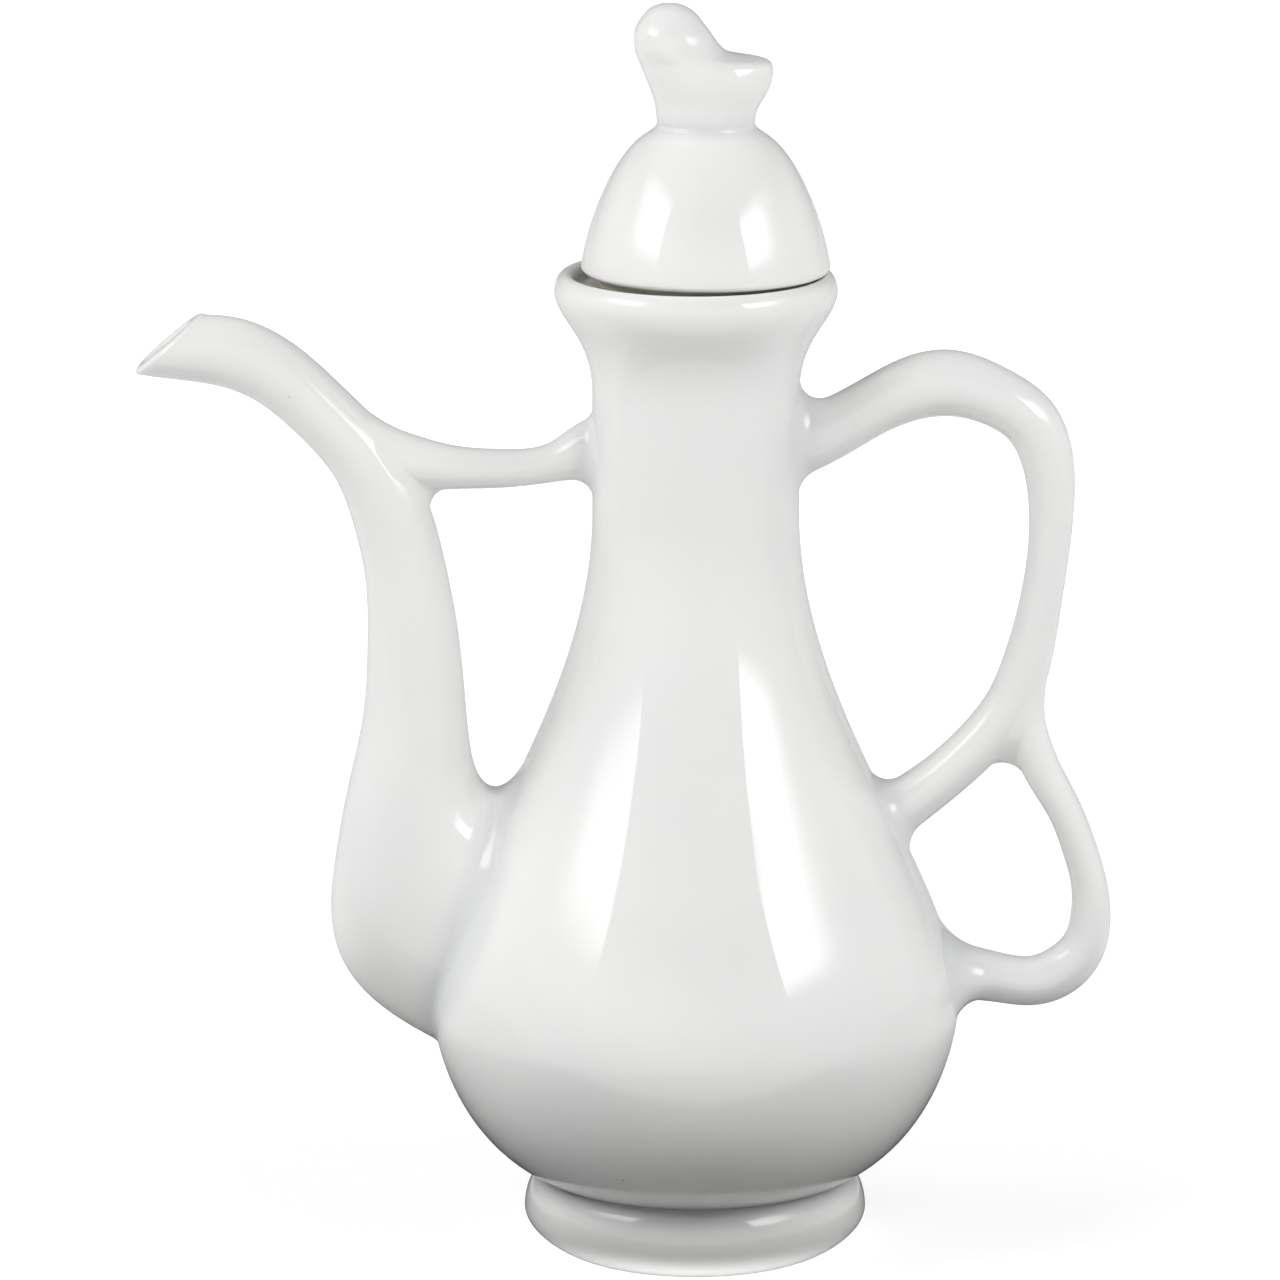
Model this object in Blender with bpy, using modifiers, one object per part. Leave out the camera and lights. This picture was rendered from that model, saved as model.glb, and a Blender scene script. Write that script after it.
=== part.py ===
"""A porcelain wine jug: a pear-shaped body on a foot ring, an S-shaped spout braced to the neck,
a handle of two loops, and a loose domed lid with a moulded knob.
Metres, +Z up. The spout points to -X and the handle to +X."""

import math

import bmesh
import bpy
import numpy as np

# Body, around its own upright axis. The lip's roll ends at an angle, in degrees from level.
BELLY_RADIUS = 0.0500
BELLY_HEIGHT = 0.0470
NECK_RADIUS = 0.0195
NECK_BASE_HEIGHT = 0.1430
NECK_TOP_HEIGHT = 0.1660
MOUTH_RADIUS = 0.0266
MOUTH_HEIGHT = 0.1888
LIP_RADIUS = 0.0020
LIP_END = -10.0
WALL = 0.0034
BASE_HEIGHT = 0.0100
BASE_RADIUS = 0.0150
BASE_ROUNDING = 0.0040

# The lid's seat is a flat ledge inside the mouth, this far below the middle of the lip's roll
SEAT_DROP = 0.0006
SEAT_ROUNDING = 0.0010

# Foot ring
FOOT_RADIUS = 0.0325
FOOT_BULGE_HEIGHT = 0.0078
FOOT_JOINT_RADIUS = 0.0294
FOOT_JOINT_HEIGHT = 0.0148
REST_RADIUS = 0.0228
REST_WIDTH = 0.0042

# Lid. Its collar has this play in the neck, and the lid stands pushed over to the handle's side.
LID_WALL = 0.0030
DOME_HEIGHT = 0.0284
CROWN_RADIUS = 0.0092
CROWN_SWEEP = 0.0028
COLLAR_PLAY = 0.0021
SEAT_PLAY = 0.0007
COLLAR_DEPTH = 0.0200
COLLAR_WALL = 0.0026
FLANGE_THICKNESS = 0.0028

# Spout and handle
SPOUT_WALL = 0.0024
PORT_RADIUS = 0.0085

# The fillet of a root has one radius on the first side of its limb and another on the side across
# from it. A limb with two roots has two fillets.
SPOUT_FILLET = (0.0104, 0.0028)
STRUT_FILLETS = ((0.0026, 0.0040), (0.0030, 0.0044))
BOW_FILLETS = ((0.0047, 0.0052), (0.0056, 0.0042))
LOOP_FILLETS = ((0.0034, 0.0022), (0.0034, 0.0100))

# A fillet in a narrow corner reaches along it at most this many times its radius, and its curve
# bends at most this many times its reach away from the limb
MOST_BLEND = 3.6
MOST_BEND = 1.6

# Pieces stay this far apart where they are luted or rest on each other
JOINT_GAP = 0.0003

# Slopes are measured over this small step
NUDGE = 0.00001

# A spout or handle station is (distance out from the belly's widest circle, height,
# half width in the plane of the spout and handle, half depth across it).
SPOUT_STATIONS = (
    (0.0590, 0.1761, 0.0060, 0.0052),
    (0.0480, 0.1746, 0.0061, 0.0055),
    (0.0373, 0.1735, 0.0067, 0.0058),
    (0.0298, 0.1702, 0.0065, 0.0060),
    (0.0205, 0.1623, 0.0062, 0.0063),
    (0.0123, 0.1530, 0.0066, 0.0067),
    (0.0072, 0.1419, 0.0074, 0.0072),
    (0.0048, 0.1319, 0.0077, 0.0076),
    (0.0033, 0.1179, 0.0087, 0.0085),
    (0.0031, 0.1021, 0.0100, 0.0098),
    (0.0033, 0.0892, 0.0128, 0.0113),
    (0.0015, 0.0783, 0.0180, 0.0126),
    (-0.0025, 0.0700, 0.0240, 0.0134),
    (-0.0082, 0.0641, 0.0243, 0.0140),
    (-0.0171, 0.0586, 0.0235, 0.0144),
    (-0.0270, 0.0540, 0.0240, 0.0146),
)
# The tip is cut along a slant that passes through this point, leaning this far back from upright.
TIP_POINT = (0.0496, 0.1753)
TIP_LEAN = math.radians(49.0)

BOW_STATIONS = (
    (-0.0400, 0.1525, 0.0066, 0.0062),
    (-0.0240, 0.1592, 0.0057, 0.0058),
    (-0.0170, 0.1631, 0.0055, 0.0057),
    (-0.0029, 0.1677, 0.0063, 0.0057),
    (0.0059, 0.1653, 0.0057, 0.0056),
    (0.0130, 0.1603, 0.0054, 0.0054),
    (0.0162, 0.1528, 0.0049, 0.0051),
    (0.0170, 0.1441, 0.0043, 0.0048),
    (0.0151, 0.1255, 0.0040, 0.0046),
    (0.0129, 0.1151, 0.0045, 0.0045),
    (0.0090, 0.1050, 0.0048, 0.0045),
    (0.0040, 0.0986, 0.0047, 0.0046),
    (-0.0048, 0.0905, 0.0047, 0.0048),
    (-0.0131, 0.0844, 0.0052, 0.0051),
    (-0.0240, 0.0762, 0.0055, 0.0055),
)

LOOP_STATIONS = (
    (0.0112, 0.1120, 0.0034, 0.0038),
    (0.0126, 0.1020, 0.0037, 0.0041),
    (0.0159, 0.0926, 0.0036, 0.0043),
    (0.0199, 0.0854, 0.0033, 0.0043),
    (0.0228, 0.0780, 0.0033, 0.0043),
    (0.0247, 0.0711, 0.0034, 0.0043),
    (0.0251, 0.0645, 0.0038, 0.0044),
    (0.0239, 0.0589, 0.0042, 0.0045),
    (0.0204, 0.0545, 0.0047, 0.0046),
    (0.0146, 0.0519, 0.0047, 0.0047),
    (0.0080, 0.0524, 0.0047, 0.0049),
    (0.0000, 0.0538, 0.0053, 0.0052),
    (-0.0120, 0.0555, 0.0056, 0.0056),
)

# The strut's stations run from inside the spout to inside the neck.
STRUT_STATIONS = (
    (0.0085, 0.1532, 0.0080, 0.0048),
    (0.0020, 0.1522, 0.0056, 0.0043),
    (-0.0060, 0.1514, 0.0040, 0.0037),
    (-0.0130, 0.1513, 0.0037, 0.0036),
    (-0.0200, 0.1518, 0.0035, 0.0036),
    (-0.0240, 0.1528, 0.0041, 0.0038),
    (-0.0280, 0.1545, 0.0056, 0.0043),
    (-0.0380, 0.1570, 0.0080, 0.0050),
)

# The knob rises from the crown through slanting rings: the place of a ring's left side and of its
# right side, (x, height) each, from the middle of the crown, and the ring's half depth.
FINIAL_RINGS = (
    (-0.0094, 0.0024, 0.0097, 0.0024, 0.0090),
    (-0.0099, 0.0047, 0.0109, 0.0045, 0.0090),
    (-0.0106, 0.0066, 0.0119, 0.0064, 0.0091),
    (-0.0114, 0.0086, 0.0125, 0.0085, 0.0090),
    (-0.0121, 0.0103, 0.0125, 0.0103, 0.0087),
    (-0.0127, 0.0118, 0.0113, 0.0117, 0.0083),
    (-0.0131, 0.0128, 0.0086, 0.0121, 0.0080),
    (-0.0133, 0.0138, 0.0057, 0.0126, 0.0077),
    (-0.0134, 0.0148, 0.0036, 0.0135, 0.0074),
    (-0.0134, 0.0159, 0.0020, 0.0152, 0.0070),
    (-0.0133, 0.0173, 0.0008, 0.0170, 0.0066),
    (-0.0127, 0.0186, -0.0003, 0.0184, 0.0060),
    (-0.0117, 0.0201, -0.0016, 0.0201, 0.0050),
    (-0.0104, 0.0214, -0.0032, 0.0214, 0.0036),
    (-0.0088, 0.0221, -0.0048, 0.0221, 0.0020),
)
FINIAL_TOP = (-0.0068, 0.0224)

TURNED_STEPS = 44
SPOUT_SIDES = 20
LIMB_SIDES = 14
FINIAL_SIDES = 20
FINIAL_STEPS = 20


class Spline:
    """A smooth line through rows of numbers, spaced by the distance between their first two columns."""

    def __init__(self, rows):
        self.rows = np.array(rows, float)
        steps = np.hypot(*np.diff(self.rows[:, :2], axis=0).T)
        self.knots = np.concatenate([[0.0], np.cumsum(steps)])
        self.length = self.knots[-1]
        count = len(self.knots)
        system = np.eye(count)
        right = np.zeros_like(self.rows)
        for i in range(1, count - 1):
            before = self.knots[i] - self.knots[i - 1]
            after = self.knots[i + 1] - self.knots[i]
            system[i, i - 1 : i + 2] = before, 2 * (before + after), after
            right[i] = 6 * (
                (self.rows[i + 1] - self.rows[i]) / after - (self.rows[i] - self.rows[i - 1]) / before
            )
        self.bends = np.linalg.solve(system, right)

    def at(self, s):
        """The row at a distance s along the line, and its rate of change."""
        i = int(np.clip(np.searchsorted(self.knots, s) - 1, 0, len(self.knots) - 2))
        width = self.knots[i + 1] - self.knots[i]
        a = (self.knots[i + 1] - s) / width
        b = 1 - a
        low, high = self.rows[i], self.rows[i + 1]
        bend_low, bend_high = self.bends[i], self.bends[i + 1]
        value = a * low + b * high + ((a**3 - a) * bend_low + (b**3 - b) * bend_high) * width**2 / 6
        rate = (high - low) / width + ((3 * b * b - 1) * bend_high - (3 * a * a - 1) * bend_low) * width / 6
        return value, rate


class Host:
    """A surface that another piece's root can grow from."""

    def distance(self, point):
        raise NotImplementedError

    def normal(self, point):
        slope = np.array(
            [self.distance(point + axis) - self.distance(point - axis) for axis in np.eye(3) * NUDGE]
        )
        return slope / np.linalg.norm(slope)

    def settle(self, point, gap):
        """The point moved straight towards or away from the surface until it is the gap outside it."""
        for _ in range(3):
            point = point - self.normal(point) * (self.distance(point) - gap)
        return point


class Turned(Host):
    """The outside of a turned shape, from its outline of (radius, height) points run downwards."""

    def __init__(self, outline):
        self.starts = np.array(outline[:-1])
        self.runs = np.diff(np.array(outline), axis=0)

    def distance(self, point):
        spot = np.array([math.hypot(point[0], point[1]), point[2]])
        away = spot - self.starts
        along = np.clip((away * self.runs).sum(1) / (self.runs**2).sum(1), 0, 1)
        away = away - self.runs * along[:, None]
        reach = np.hypot(away[:, 0], away[:, 1])
        i = int(np.argmin(reach))
        side = self.runs[i, 0] * away[i, 1] - self.runs[i, 1] * away[i, 0]
        return math.copysign(reach[i], side)


class Slant(Host):
    """A flat cut. Its distance grows along the given direction."""

    def __init__(self, point, direction):
        self.point = np.array(point)
        self.direction = np.array(direction)

    def distance(self, point):
        return float((point - self.point) @ self.direction)


class Limb(Host):
    """A tube of oval section along a smooth line in the X-Z plane.
    A row of its stations is (x, z, half width in the plane, half depth)."""

    def __init__(self, stations):
        self.line = Spline(stations)
        self.length = self.line.length
        self.marks = np.linspace(0, self.length, 160)
        self.centres = np.array([self.line.at(s)[0][:2] for s in self.marks])

    def frame(self, s):
        """The centre and sideways direction in the X-Z plane, and the two half sizes."""
        value, rate = self.line.at(s)
        speed = math.hypot(rate[0], rate[1])
        return value[:2], np.array([-rate[1], rate[0]]) / speed, value[2], value[3]

    def point(self, s, angle):
        centre, side, width, depth = self.frame(s)
        flat = centre + side * width * math.cos(angle)
        return np.array([flat[0], depth * math.sin(angle), flat[1]])

    def centre(self, s):
        flat = self.line.at(s)[0]
        return np.array([flat[0], 0.0, flat[1]])

    def distance(self, point):
        flat = np.array([point[0], point[2]])
        s = self.marks[int(np.argmin(np.hypot(*(self.centres - flat).T)))]
        for _ in range(3):
            value, rate = self.line.at(s)
            s = float(np.clip(s + (flat - value[:2]) @ rate[:2] / (rate[:2] @ rate[:2]), 0, self.length))
        centre, side, width, depth = self.frame(s)
        across = (flat - centre) @ side
        ratio = math.hypot(across / width, point[1] / depth)
        if ratio < 1e-6:
            return -min(width, depth)
        return (ratio - 1) * ratio / math.hypot(across / width**2, point[1] / depth**2)

    def crossing(self, angle, host, gap, inside, outside):
        """Where the line at this angle, or the centre line, is the gap away from the host."""
        for _ in range(40):
            middle = (inside + outside) / 2
            spot = self.centre(middle) if angle is None else self.point(middle, angle)
            if host.distance(spot) < gap:
                inside = middle
            else:
                outside = middle
        return outside

    def root(self, angles, host, fillet, inside, outside):
        """The rings of a root that swings out onto its host through a fillet, from the tube inwards,
        and where each of its lines leaves the tube. The last ring lies on the host."""
        forward = 1 if outside > inside else -1
        near, far = fillet
        starts, rings = [], [[] for _ in range(5)]
        for angle in angles:
            s = self.crossing(angle, host, JOINT_GAP, inside, outside)
            corner = self.point(s, angle)
            normal = host.normal(corner)
            away = corner - self.centre(s)
            away = away - normal * (away @ normal)
            away = away / np.linalg.norm(away)
            rise = (self.point(s + forward * NUDGE, angle) - corner) / NUDGE
            speed = np.linalg.norm(rise)
            half = math.acos(np.clip(rise @ away / speed, -1, 1)) / 2
            radius = far + (near - far) * (0.5 + 0.5 * math.cos(angle)) ** 2
            reach = radius * min(1 / math.tan(half), MOST_BLEND)
            start = s + forward * reach / speed
            first = self.point(start, angle)
            last = host.settle(corner + away * reach, JOINT_GAP)
            flat = host.normal(last)
            slope = self.point(start - forward * NUDGE, angle) - first
            lead = ((last - first) @ flat) / (slope @ flat)
            bend = first + slope * np.clip(lead, 0, MOST_BEND * reach / NUDGE)
            starts.append(start)
            for ring, t in zip(rings, (0.2, 0.42, 0.65, 0.85)):
                shares = np.array([(1 - t) ** 2, 2 * t * (1 - t) * math.sin(half), t * t])
                ring.append(shares @ np.array([first, bend, last]) / shares.sum())
            rings[4].append(last)
        return starts, rings

    def seat(self, host, inside, outside, edge):
        """The underside of a solid root: rings inside its edge, then the point in the middle."""
        middle = self.centre(self.crossing(None, host, JOINT_GAP, inside, outside))
        rings = [
            [host.settle(middle + (point - middle) * share, JOINT_GAP) for point in edge]
            for share in (0.62, 0.28)
        ]
        return rings, host.settle(middle, JOINT_GAP)

    def rings(self, angles, starts, ends, count, crowding=1.0):
        """Rings along the tube, each line running from its own start to its own end.
        Crowding over 1 brings them closer together towards the end."""
        shares = [1 - (1 - i / count) ** crowding for i in range(count + 1)]
        return [
            [self.point(a + (b - a) * share, angle) for angle, a, b in zip(angles, starts, ends)]
            for share in shares
        ]


def bezier(start, leave, arrive, end, count):
    """Points along a cubic curve, without its first point."""
    corners = np.array([start, leave, arrive, end])
    found = []
    for i in range(1, count + 1):
        t = i / count
        weights = np.array([(1 - t) ** 3, 3 * (1 - t) ** 2 * t, 3 * (1 - t) * t**2, t**3])
        found.append(tuple(weights @ corners))
    return found


def arc(centre, radius, first, last, count):
    """Points along a circle, with both ends. Angles are in degrees from +X towards +Z."""
    turns = [math.radians(first + (last - first) * i / count) for i in range(count + 1)]
    return [(centre[0] + radius * math.cos(a), centre[1] + radius * math.sin(a)) for a in turns]


def inset(outline, distance):
    """The outline moved sideways into the material of a wall whose outside it runs down."""
    points = np.array(outline)
    along = np.gradient(points, axis=0)
    along = along / np.hypot(along[:, 0], along[:, 1])[:, None]
    moved = points + distance * np.stack([along[:, 1], -along[:, 0]], 1)
    moved[-1, 0] = 0.0
    return [tuple(point) for point in moved]


def lip_middle():
    """The middle of the lip's round roll."""
    return MOUTH_RADIUS - LIP_RADIUS, MOUTH_HEIGHT - LIP_RADIUS


def body_outside():
    """The body's outer outline from the underside of the lip down to the middle of the base."""
    lip_end = arc(lip_middle(), LIP_RADIUS, LIP_END, LIP_END, 1)[0]
    spread = MOUTH_RADIUS - NECK_RADIUS
    climb = MOUTH_HEIGHT - NECK_TOP_HEIGHT
    flare = lip_end[0] - 0.11 * spread, lip_end[1] - 0.22 * climb
    neck_top = NECK_RADIUS, NECK_TOP_HEIGHT
    neck_rise = NECK_RADIUS, NECK_TOP_HEIGHT + 0.46 * climb
    neck_base = NECK_RADIUS, NECK_BASE_HEIGHT
    belly = BELLY_RADIUS, BELLY_HEIGHT
    shoulder = NECK_BASE_HEIGHT - BELLY_HEIGHT
    joint = FOOT_JOINT_RADIUS, FOOT_JOINT_HEIGHT
    bowl = BELLY_RADIUS - FOOT_JOINT_RADIUS, BELLY_HEIGHT - FOOT_JOINT_HEIGHT
    outline = [lip_end]
    outline += bezier(lip_end, flare, neck_rise, neck_top, 6)
    outline += [neck_base]
    outline += bezier(
        neck_base,
        (NECK_RADIUS, NECK_BASE_HEIGHT - 0.408 * shoulder),
        (BELLY_RADIUS, BELLY_HEIGHT + 0.255 * shoulder),
        belly,
        9,
    )
    outline += bezier(
        belly,
        (BELLY_RADIUS, BELLY_HEIGHT - 0.125 * bowl[1]),
        (FOOT_JOINT_RADIUS + 0.843 * bowl[0], FOOT_JOINT_HEIGHT + 0.248 * bowl[1]),
        joint,
        7,
    )
    outline += bezier(
        joint,
        (FOOT_JOINT_RADIUS - 0.35 * bowl[0], FOOT_JOINT_HEIGHT - 0.104 * bowl[1]),
        (BASE_RADIUS + BASE_ROUNDING, BASE_HEIGHT),
        (BASE_RADIUS, BASE_HEIGHT),
        2,
    )
    return outline + [(0.0, BASE_HEIGHT)]


def piece(name, mesh, collection):
    """An object in a collection, with its own white glaze."""
    obj = bpy.data.objects.new(name, mesh)
    collection.objects.link(obj)
    glaze = bpy.data.materials.new(name + "_glaze")
    glaze.use_nodes = True
    shader = glaze.node_tree.nodes["Principled BSDF"]
    shader.inputs["Base Color"].default_value = (0.86, 0.86, 0.85, 1.0)
    shader.inputs["Roughness"].default_value = 0.12
    shader.inputs["Metallic"].default_value = 0.0
    mesh.materials.append(glaze)
    return obj


def turn(name, outline, collection, loop=False):
    """A turned piece. Its outline runs from the top down the outer side, and a loop comes back up inside."""
    count = len(outline)
    edges = [(i, (i + 1) % count) for i in range(count if loop else count - 1)]
    mesh = bpy.data.meshes.new(name)
    mesh.from_pydata([(radius, 0.0, height) for radius, height in outline], edges, [])
    obj = piece(name, mesh, collection)
    screw = obj.modifiers.new("Turning", "SCREW")
    screw.axis = "Z"
    screw.steps = TURNED_STEPS
    screw.render_steps = TURNED_STEPS
    screw.use_merge_vertices = True
    screw.merge_threshold = 0.00001
    return obj


def skin(name, rings, collection, first_pole=None, last_pole=None):
    """A closed piece through rings of points: between two poles, or round again to the first ring."""
    made = bmesh.new()
    rows = [[made.verts.new(point) for point in ring] for ring in rings]
    pairs = list(zip(rows, rows[1:]))
    if first_pole is None:
        pairs.append((rows[-1], rows[0]))
    for low, high in pairs:
        for i in range(len(low)):
            j = (i + 1) % len(low)
            made.faces.new((low[i], low[j], high[j], high[i]))
    for pole, row in ((first_pole, rows[0]), (last_pole, rows[-1])):
        if pole is not None:
            top = made.verts.new(pole)
            for i in range(len(row)):
                made.faces.new((row[i], row[(i + 1) % len(row)], top))
    bmesh.ops.recalc_face_normals(made, faces=made.faces)
    mesh = bpy.data.meshes.new(name)
    made.to_mesh(mesh)
    made.free()
    return piece(name, mesh, collection)


def angles_of(sides):
    return [2 * math.pi * i / sides for i in range(sides)]


def limb_from(stations, side, shrink=0.0):
    """A limb on one side of the body, with its half sizes reduced to leave a wall."""
    return Limb([(side * (BELLY_RADIUS + x), z, w - shrink, d - shrink) for x, z, w, d in stations])


def make_body(collection, cutters, host, spout):
    outside = body_outside()
    hollow = [point for point in inset(outside, WALL) if point[1] < NECK_TOP_HEIGHT]
    lip = lip_middle()
    seat = lip[1] - SEAT_DROP
    corner = NECK_RADIUS - WALL + SEAT_ROUNDING, seat - SEAT_ROUNDING
    ledge = arc(corner, SEAT_ROUNDING, 180, 90, 2) + [(lip[0] - LIP_RADIUS, seat)]
    roll = arc(lip, LIP_RADIUS, 180, LIP_END, 6)[:-1]
    body = turn("jug_body", hollow[::-1] + ledge + roll + outside, collection)

    along = spout.length
    entry = spout.crossing(None, host, 0.0, along, 0.5 * along)
    centre, side, _, _ = spout.frame(entry)
    made = bmesh.new()
    bmesh.ops.create_cone(
        made, cap_ends=True, segments=20, radius1=PORT_RADIUS, radius2=PORT_RADIUS, depth=6 * WALL
    )
    mesh = bpy.data.meshes.new("spout_port_cutter")
    made.to_mesh(mesh)
    made.free()
    cutter = bpy.data.objects.new("spout_port_cutter", mesh)
    cutter.location = centre[0], 0.0, centre[1]
    cutter.rotation_euler = 0.0, math.atan2(side[1], -side[0]) + math.pi / 2, 0.0
    cutter.hide_render = True
    cutter.display_type = "WIRE"
    cutters.objects.link(cutter)
    port = body.modifiers.new("Spout port", "BOOLEAN")
    port.operation = "DIFFERENCE"
    port.solver = "EXACT"
    port.object = cutter
    return body, cutter


def make_foot(collection, host):
    top_outer = host.settle(np.array([FOOT_JOINT_RADIUS, 0.0, FOOT_JOINT_HEIGHT]), JOINT_GAP)
    top_outer = top_outer[0], top_outer[2]
    bulge = FOOT_RADIUS, FOOT_BULGE_HEIGHT
    rest = REST_RADIUS, 0.0
    inner = REST_RADIUS - REST_WIDTH
    rise = top_outer[1] - FOOT_BULGE_HEIGHT
    swell = FOOT_RADIUS - top_outer[0]
    outline = [top_outer]
    outline += bezier(
        top_outer,
        (top_outer[0] + 0.7 * swell, top_outer[1] - 0.18 * rise),
        (FOOT_RADIUS, FOOT_BULGE_HEIGHT + 0.4 * rise),
        bulge,
        4,
    )
    outline += bezier(
        bulge,
        (FOOT_RADIUS, 0.53 * FOOT_BULGE_HEIGHT),
        (REST_RADIUS + 0.34 * (FOOT_RADIUS - REST_RADIUS), 0.0),
        rest,
        5,
    )
    bevel = 0.12 * REST_WIDTH
    outline += [(inner + bevel, 0.0), (inner, bevel)]
    under = [radius for radius, height in body_outside() if height < FOOT_JOINT_HEIGHT and radius > inner]
    for radius in [0.96 * inner] + under[::-1]:
        spot = host.settle(np.array([radius, 0.0, FOOT_JOINT_HEIGHT]), JOINT_GAP)
        outline.append((spot[0], spot[2]))
    return turn("foot_ring", outline, collection, loop=True)


def make_spout(collection, host, spout, bore):
    angles = angles_of(SPOUT_SIDES)
    along = spout.length
    slant = Slant(
        (-(BELLY_RADIUS + TIP_POINT[0]), 0.0, TIP_POINT[1]), (math.cos(TIP_LEAN), 0.0, -math.sin(TIP_LEAN))
    )
    tip = [spout.crossing(angle, slant, 0.0, 0.0, 0.3 * along) for angle in angles]
    bore_tip = [bore.crossing(angle, slant, 0.0, 0.0, 0.3 * along) for angle in angles]
    start, root = spout.root(angles, host, SPOUT_FILLET, along, 0.5 * along)
    bore_end = [bore.crossing(angle, host, JOINT_GAP, along, 0.5 * along) for angle in angles]
    inside = bore.rings(angles, bore_end, bore_tip, 18)
    outside = spout.rings(angles, tip, start, 30, 1.5)
    seat = [
        [host.settle(edge + (hole - edge) * share, JOINT_GAP) for edge, hole in zip(root[-1], inside[0])]
        for share in (0.35, 0.7)
    ]
    return skin("spout", outside + root + seat + inside, collection)


def make_limb(name, limb, first_host, last_host, fillets, count, collection):
    """A solid limb that is rooted on a host at both ends."""
    angles = angles_of(LIMB_SIDES)
    along = limb.length
    middle = 0.45 * along
    first, first_root = limb.root(angles, first_host, fillets[0], 0.0, middle)
    last, last_root = limb.root(angles, last_host, fillets[1], along, middle)
    first_seat, first_pole = limb.seat(first_host, 0.0, middle, first_root[-1])
    last_seat, last_pole = limb.seat(last_host, along, middle, last_root[-1])
    tube = limb.rings(angles, first, last, count)
    rings = first_seat[::-1] + first_root[::-1] + tube + last_root + last_seat
    return skin(name, rings, collection, first_pole, last_pole)


def lid_shift():
    """How far the lid stands from the body's axis, with its collar against the neck."""
    return COLLAR_PLAY - JOINT_GAP


def flange_radius():
    """The collar's flange, which still lies on the seat when the lid is pushed over."""
    return MOUTH_RADIUS - 2 * LIP_RADIUS - SEAT_PLAY - lid_shift()


def make_dome(collection):
    """The hollow dome, with its underside at zero height."""
    hollow = flange_radius() + JOINT_GAP
    radius = hollow + LID_WALL
    edge = 0.35 * LID_WALL
    shoulder = CROWN_RADIUS + CROWN_SWEEP, 0.895 * DOME_HEIGHT
    outline = [(0.0, DOME_HEIGHT), (CROWN_RADIUS, DOME_HEIGHT)]
    outline += bezier(
        outline[-1],
        (CROWN_RADIUS, 0.957 * DOME_HEIGHT),
        (CROWN_RADIUS + 0.36 * CROWN_SWEEP, 0.940 * DOME_HEIGHT),
        shoulder,
        3,
    )
    outline += bezier(
        shoulder,
        (0.748 * radius, 0.757 * DOME_HEIGHT),
        (0.945 * radius, 0.335 * DOME_HEIGHT),
        (radius, edge),
        7,
    )
    outline += [(radius - 0.3 * edge, 0.3 * edge), (radius - edge, 0.0), (hollow, 0.0)]
    spring = hollow, FLANGE_THICKNESS + JOINT_GAP
    crown = DOME_HEIGHT - 1.5 * LID_WALL
    rise = crown - spring[1]
    outline += [spring]
    outline += bezier(
        spring, (hollow, spring[1] + 0.4 * rise), (0.62 * hollow, spring[1] + 0.97 * rise), (0.0, crown), 6
    )
    return turn("lid_dome", outline, collection)


def make_collar(collection):
    """The flange inside the dome, which rests on the seat, and the tube that hangs into the neck."""
    outer = NECK_RADIUS - WALL - COLLAR_PLAY
    inner = outer - COLLAR_WALL
    bevel = 0.25 * COLLAR_WALL
    rim = flange_radius()
    rest = -(LIP_RADIUS + SEAT_DROP)
    profile = [
        (inner + bevel, FLANGE_THICKNESS),
        (rim - bevel, FLANGE_THICKNESS),
        (rim, FLANGE_THICKNESS - bevel),
        (rim, rest + bevel),
        (rim - bevel, rest),
        (outer + bevel, rest),
        (outer, rest - bevel),
        (outer, bevel - COLLAR_DEPTH),
        (outer - bevel, -COLLAR_DEPTH),
        (inner + bevel, -COLLAR_DEPTH),
        (inner, bevel - COLLAR_DEPTH),
        (inner, FLANGE_THICKNESS - bevel),
    ]
    return turn("lid_collar", profile, collection, loop=True)


def make_finial(collection):
    """The moulded knob on the crown of the dome."""
    base = DOME_HEIGHT + JOINT_GAP
    line = Spline(((-CROWN_RADIUS, 0.0, CROWN_RADIUS, 0.0, CROWN_RADIUS),) + FINIAL_RINGS)
    angles = angles_of(FINIAL_SIDES)
    rings = []
    for i in range(FINIAL_STEPS + 1):
        left_x, left_z, right_x, right_z, depth = line.at(line.length * i / FINIAL_STEPS)[0]
        middle = np.array([(left_x + right_x) / 2, 0.0, base + (left_z + right_z) / 2])
        across = np.array([(right_x - left_x) / 2, 0.0, (right_z - left_z) / 2])
        deep = np.array([0.0, depth, 0.0])
        rings.append([middle + across * math.cos(angle) + deep * math.sin(angle) for angle in angles])
    top = FINIAL_TOP[0], 0.0, base + FINIAL_TOP[1]
    return skin("lid_finial", rings, collection, (0.0, 0.0, base), top)


def empty(name, location, collection, parent=None):
    obj = bpy.data.objects.new(name, None)
    obj.location = location
    obj.empty_display_size = 0.02
    obj.parent = parent
    collection.objects.link(obj)
    return obj


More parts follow.
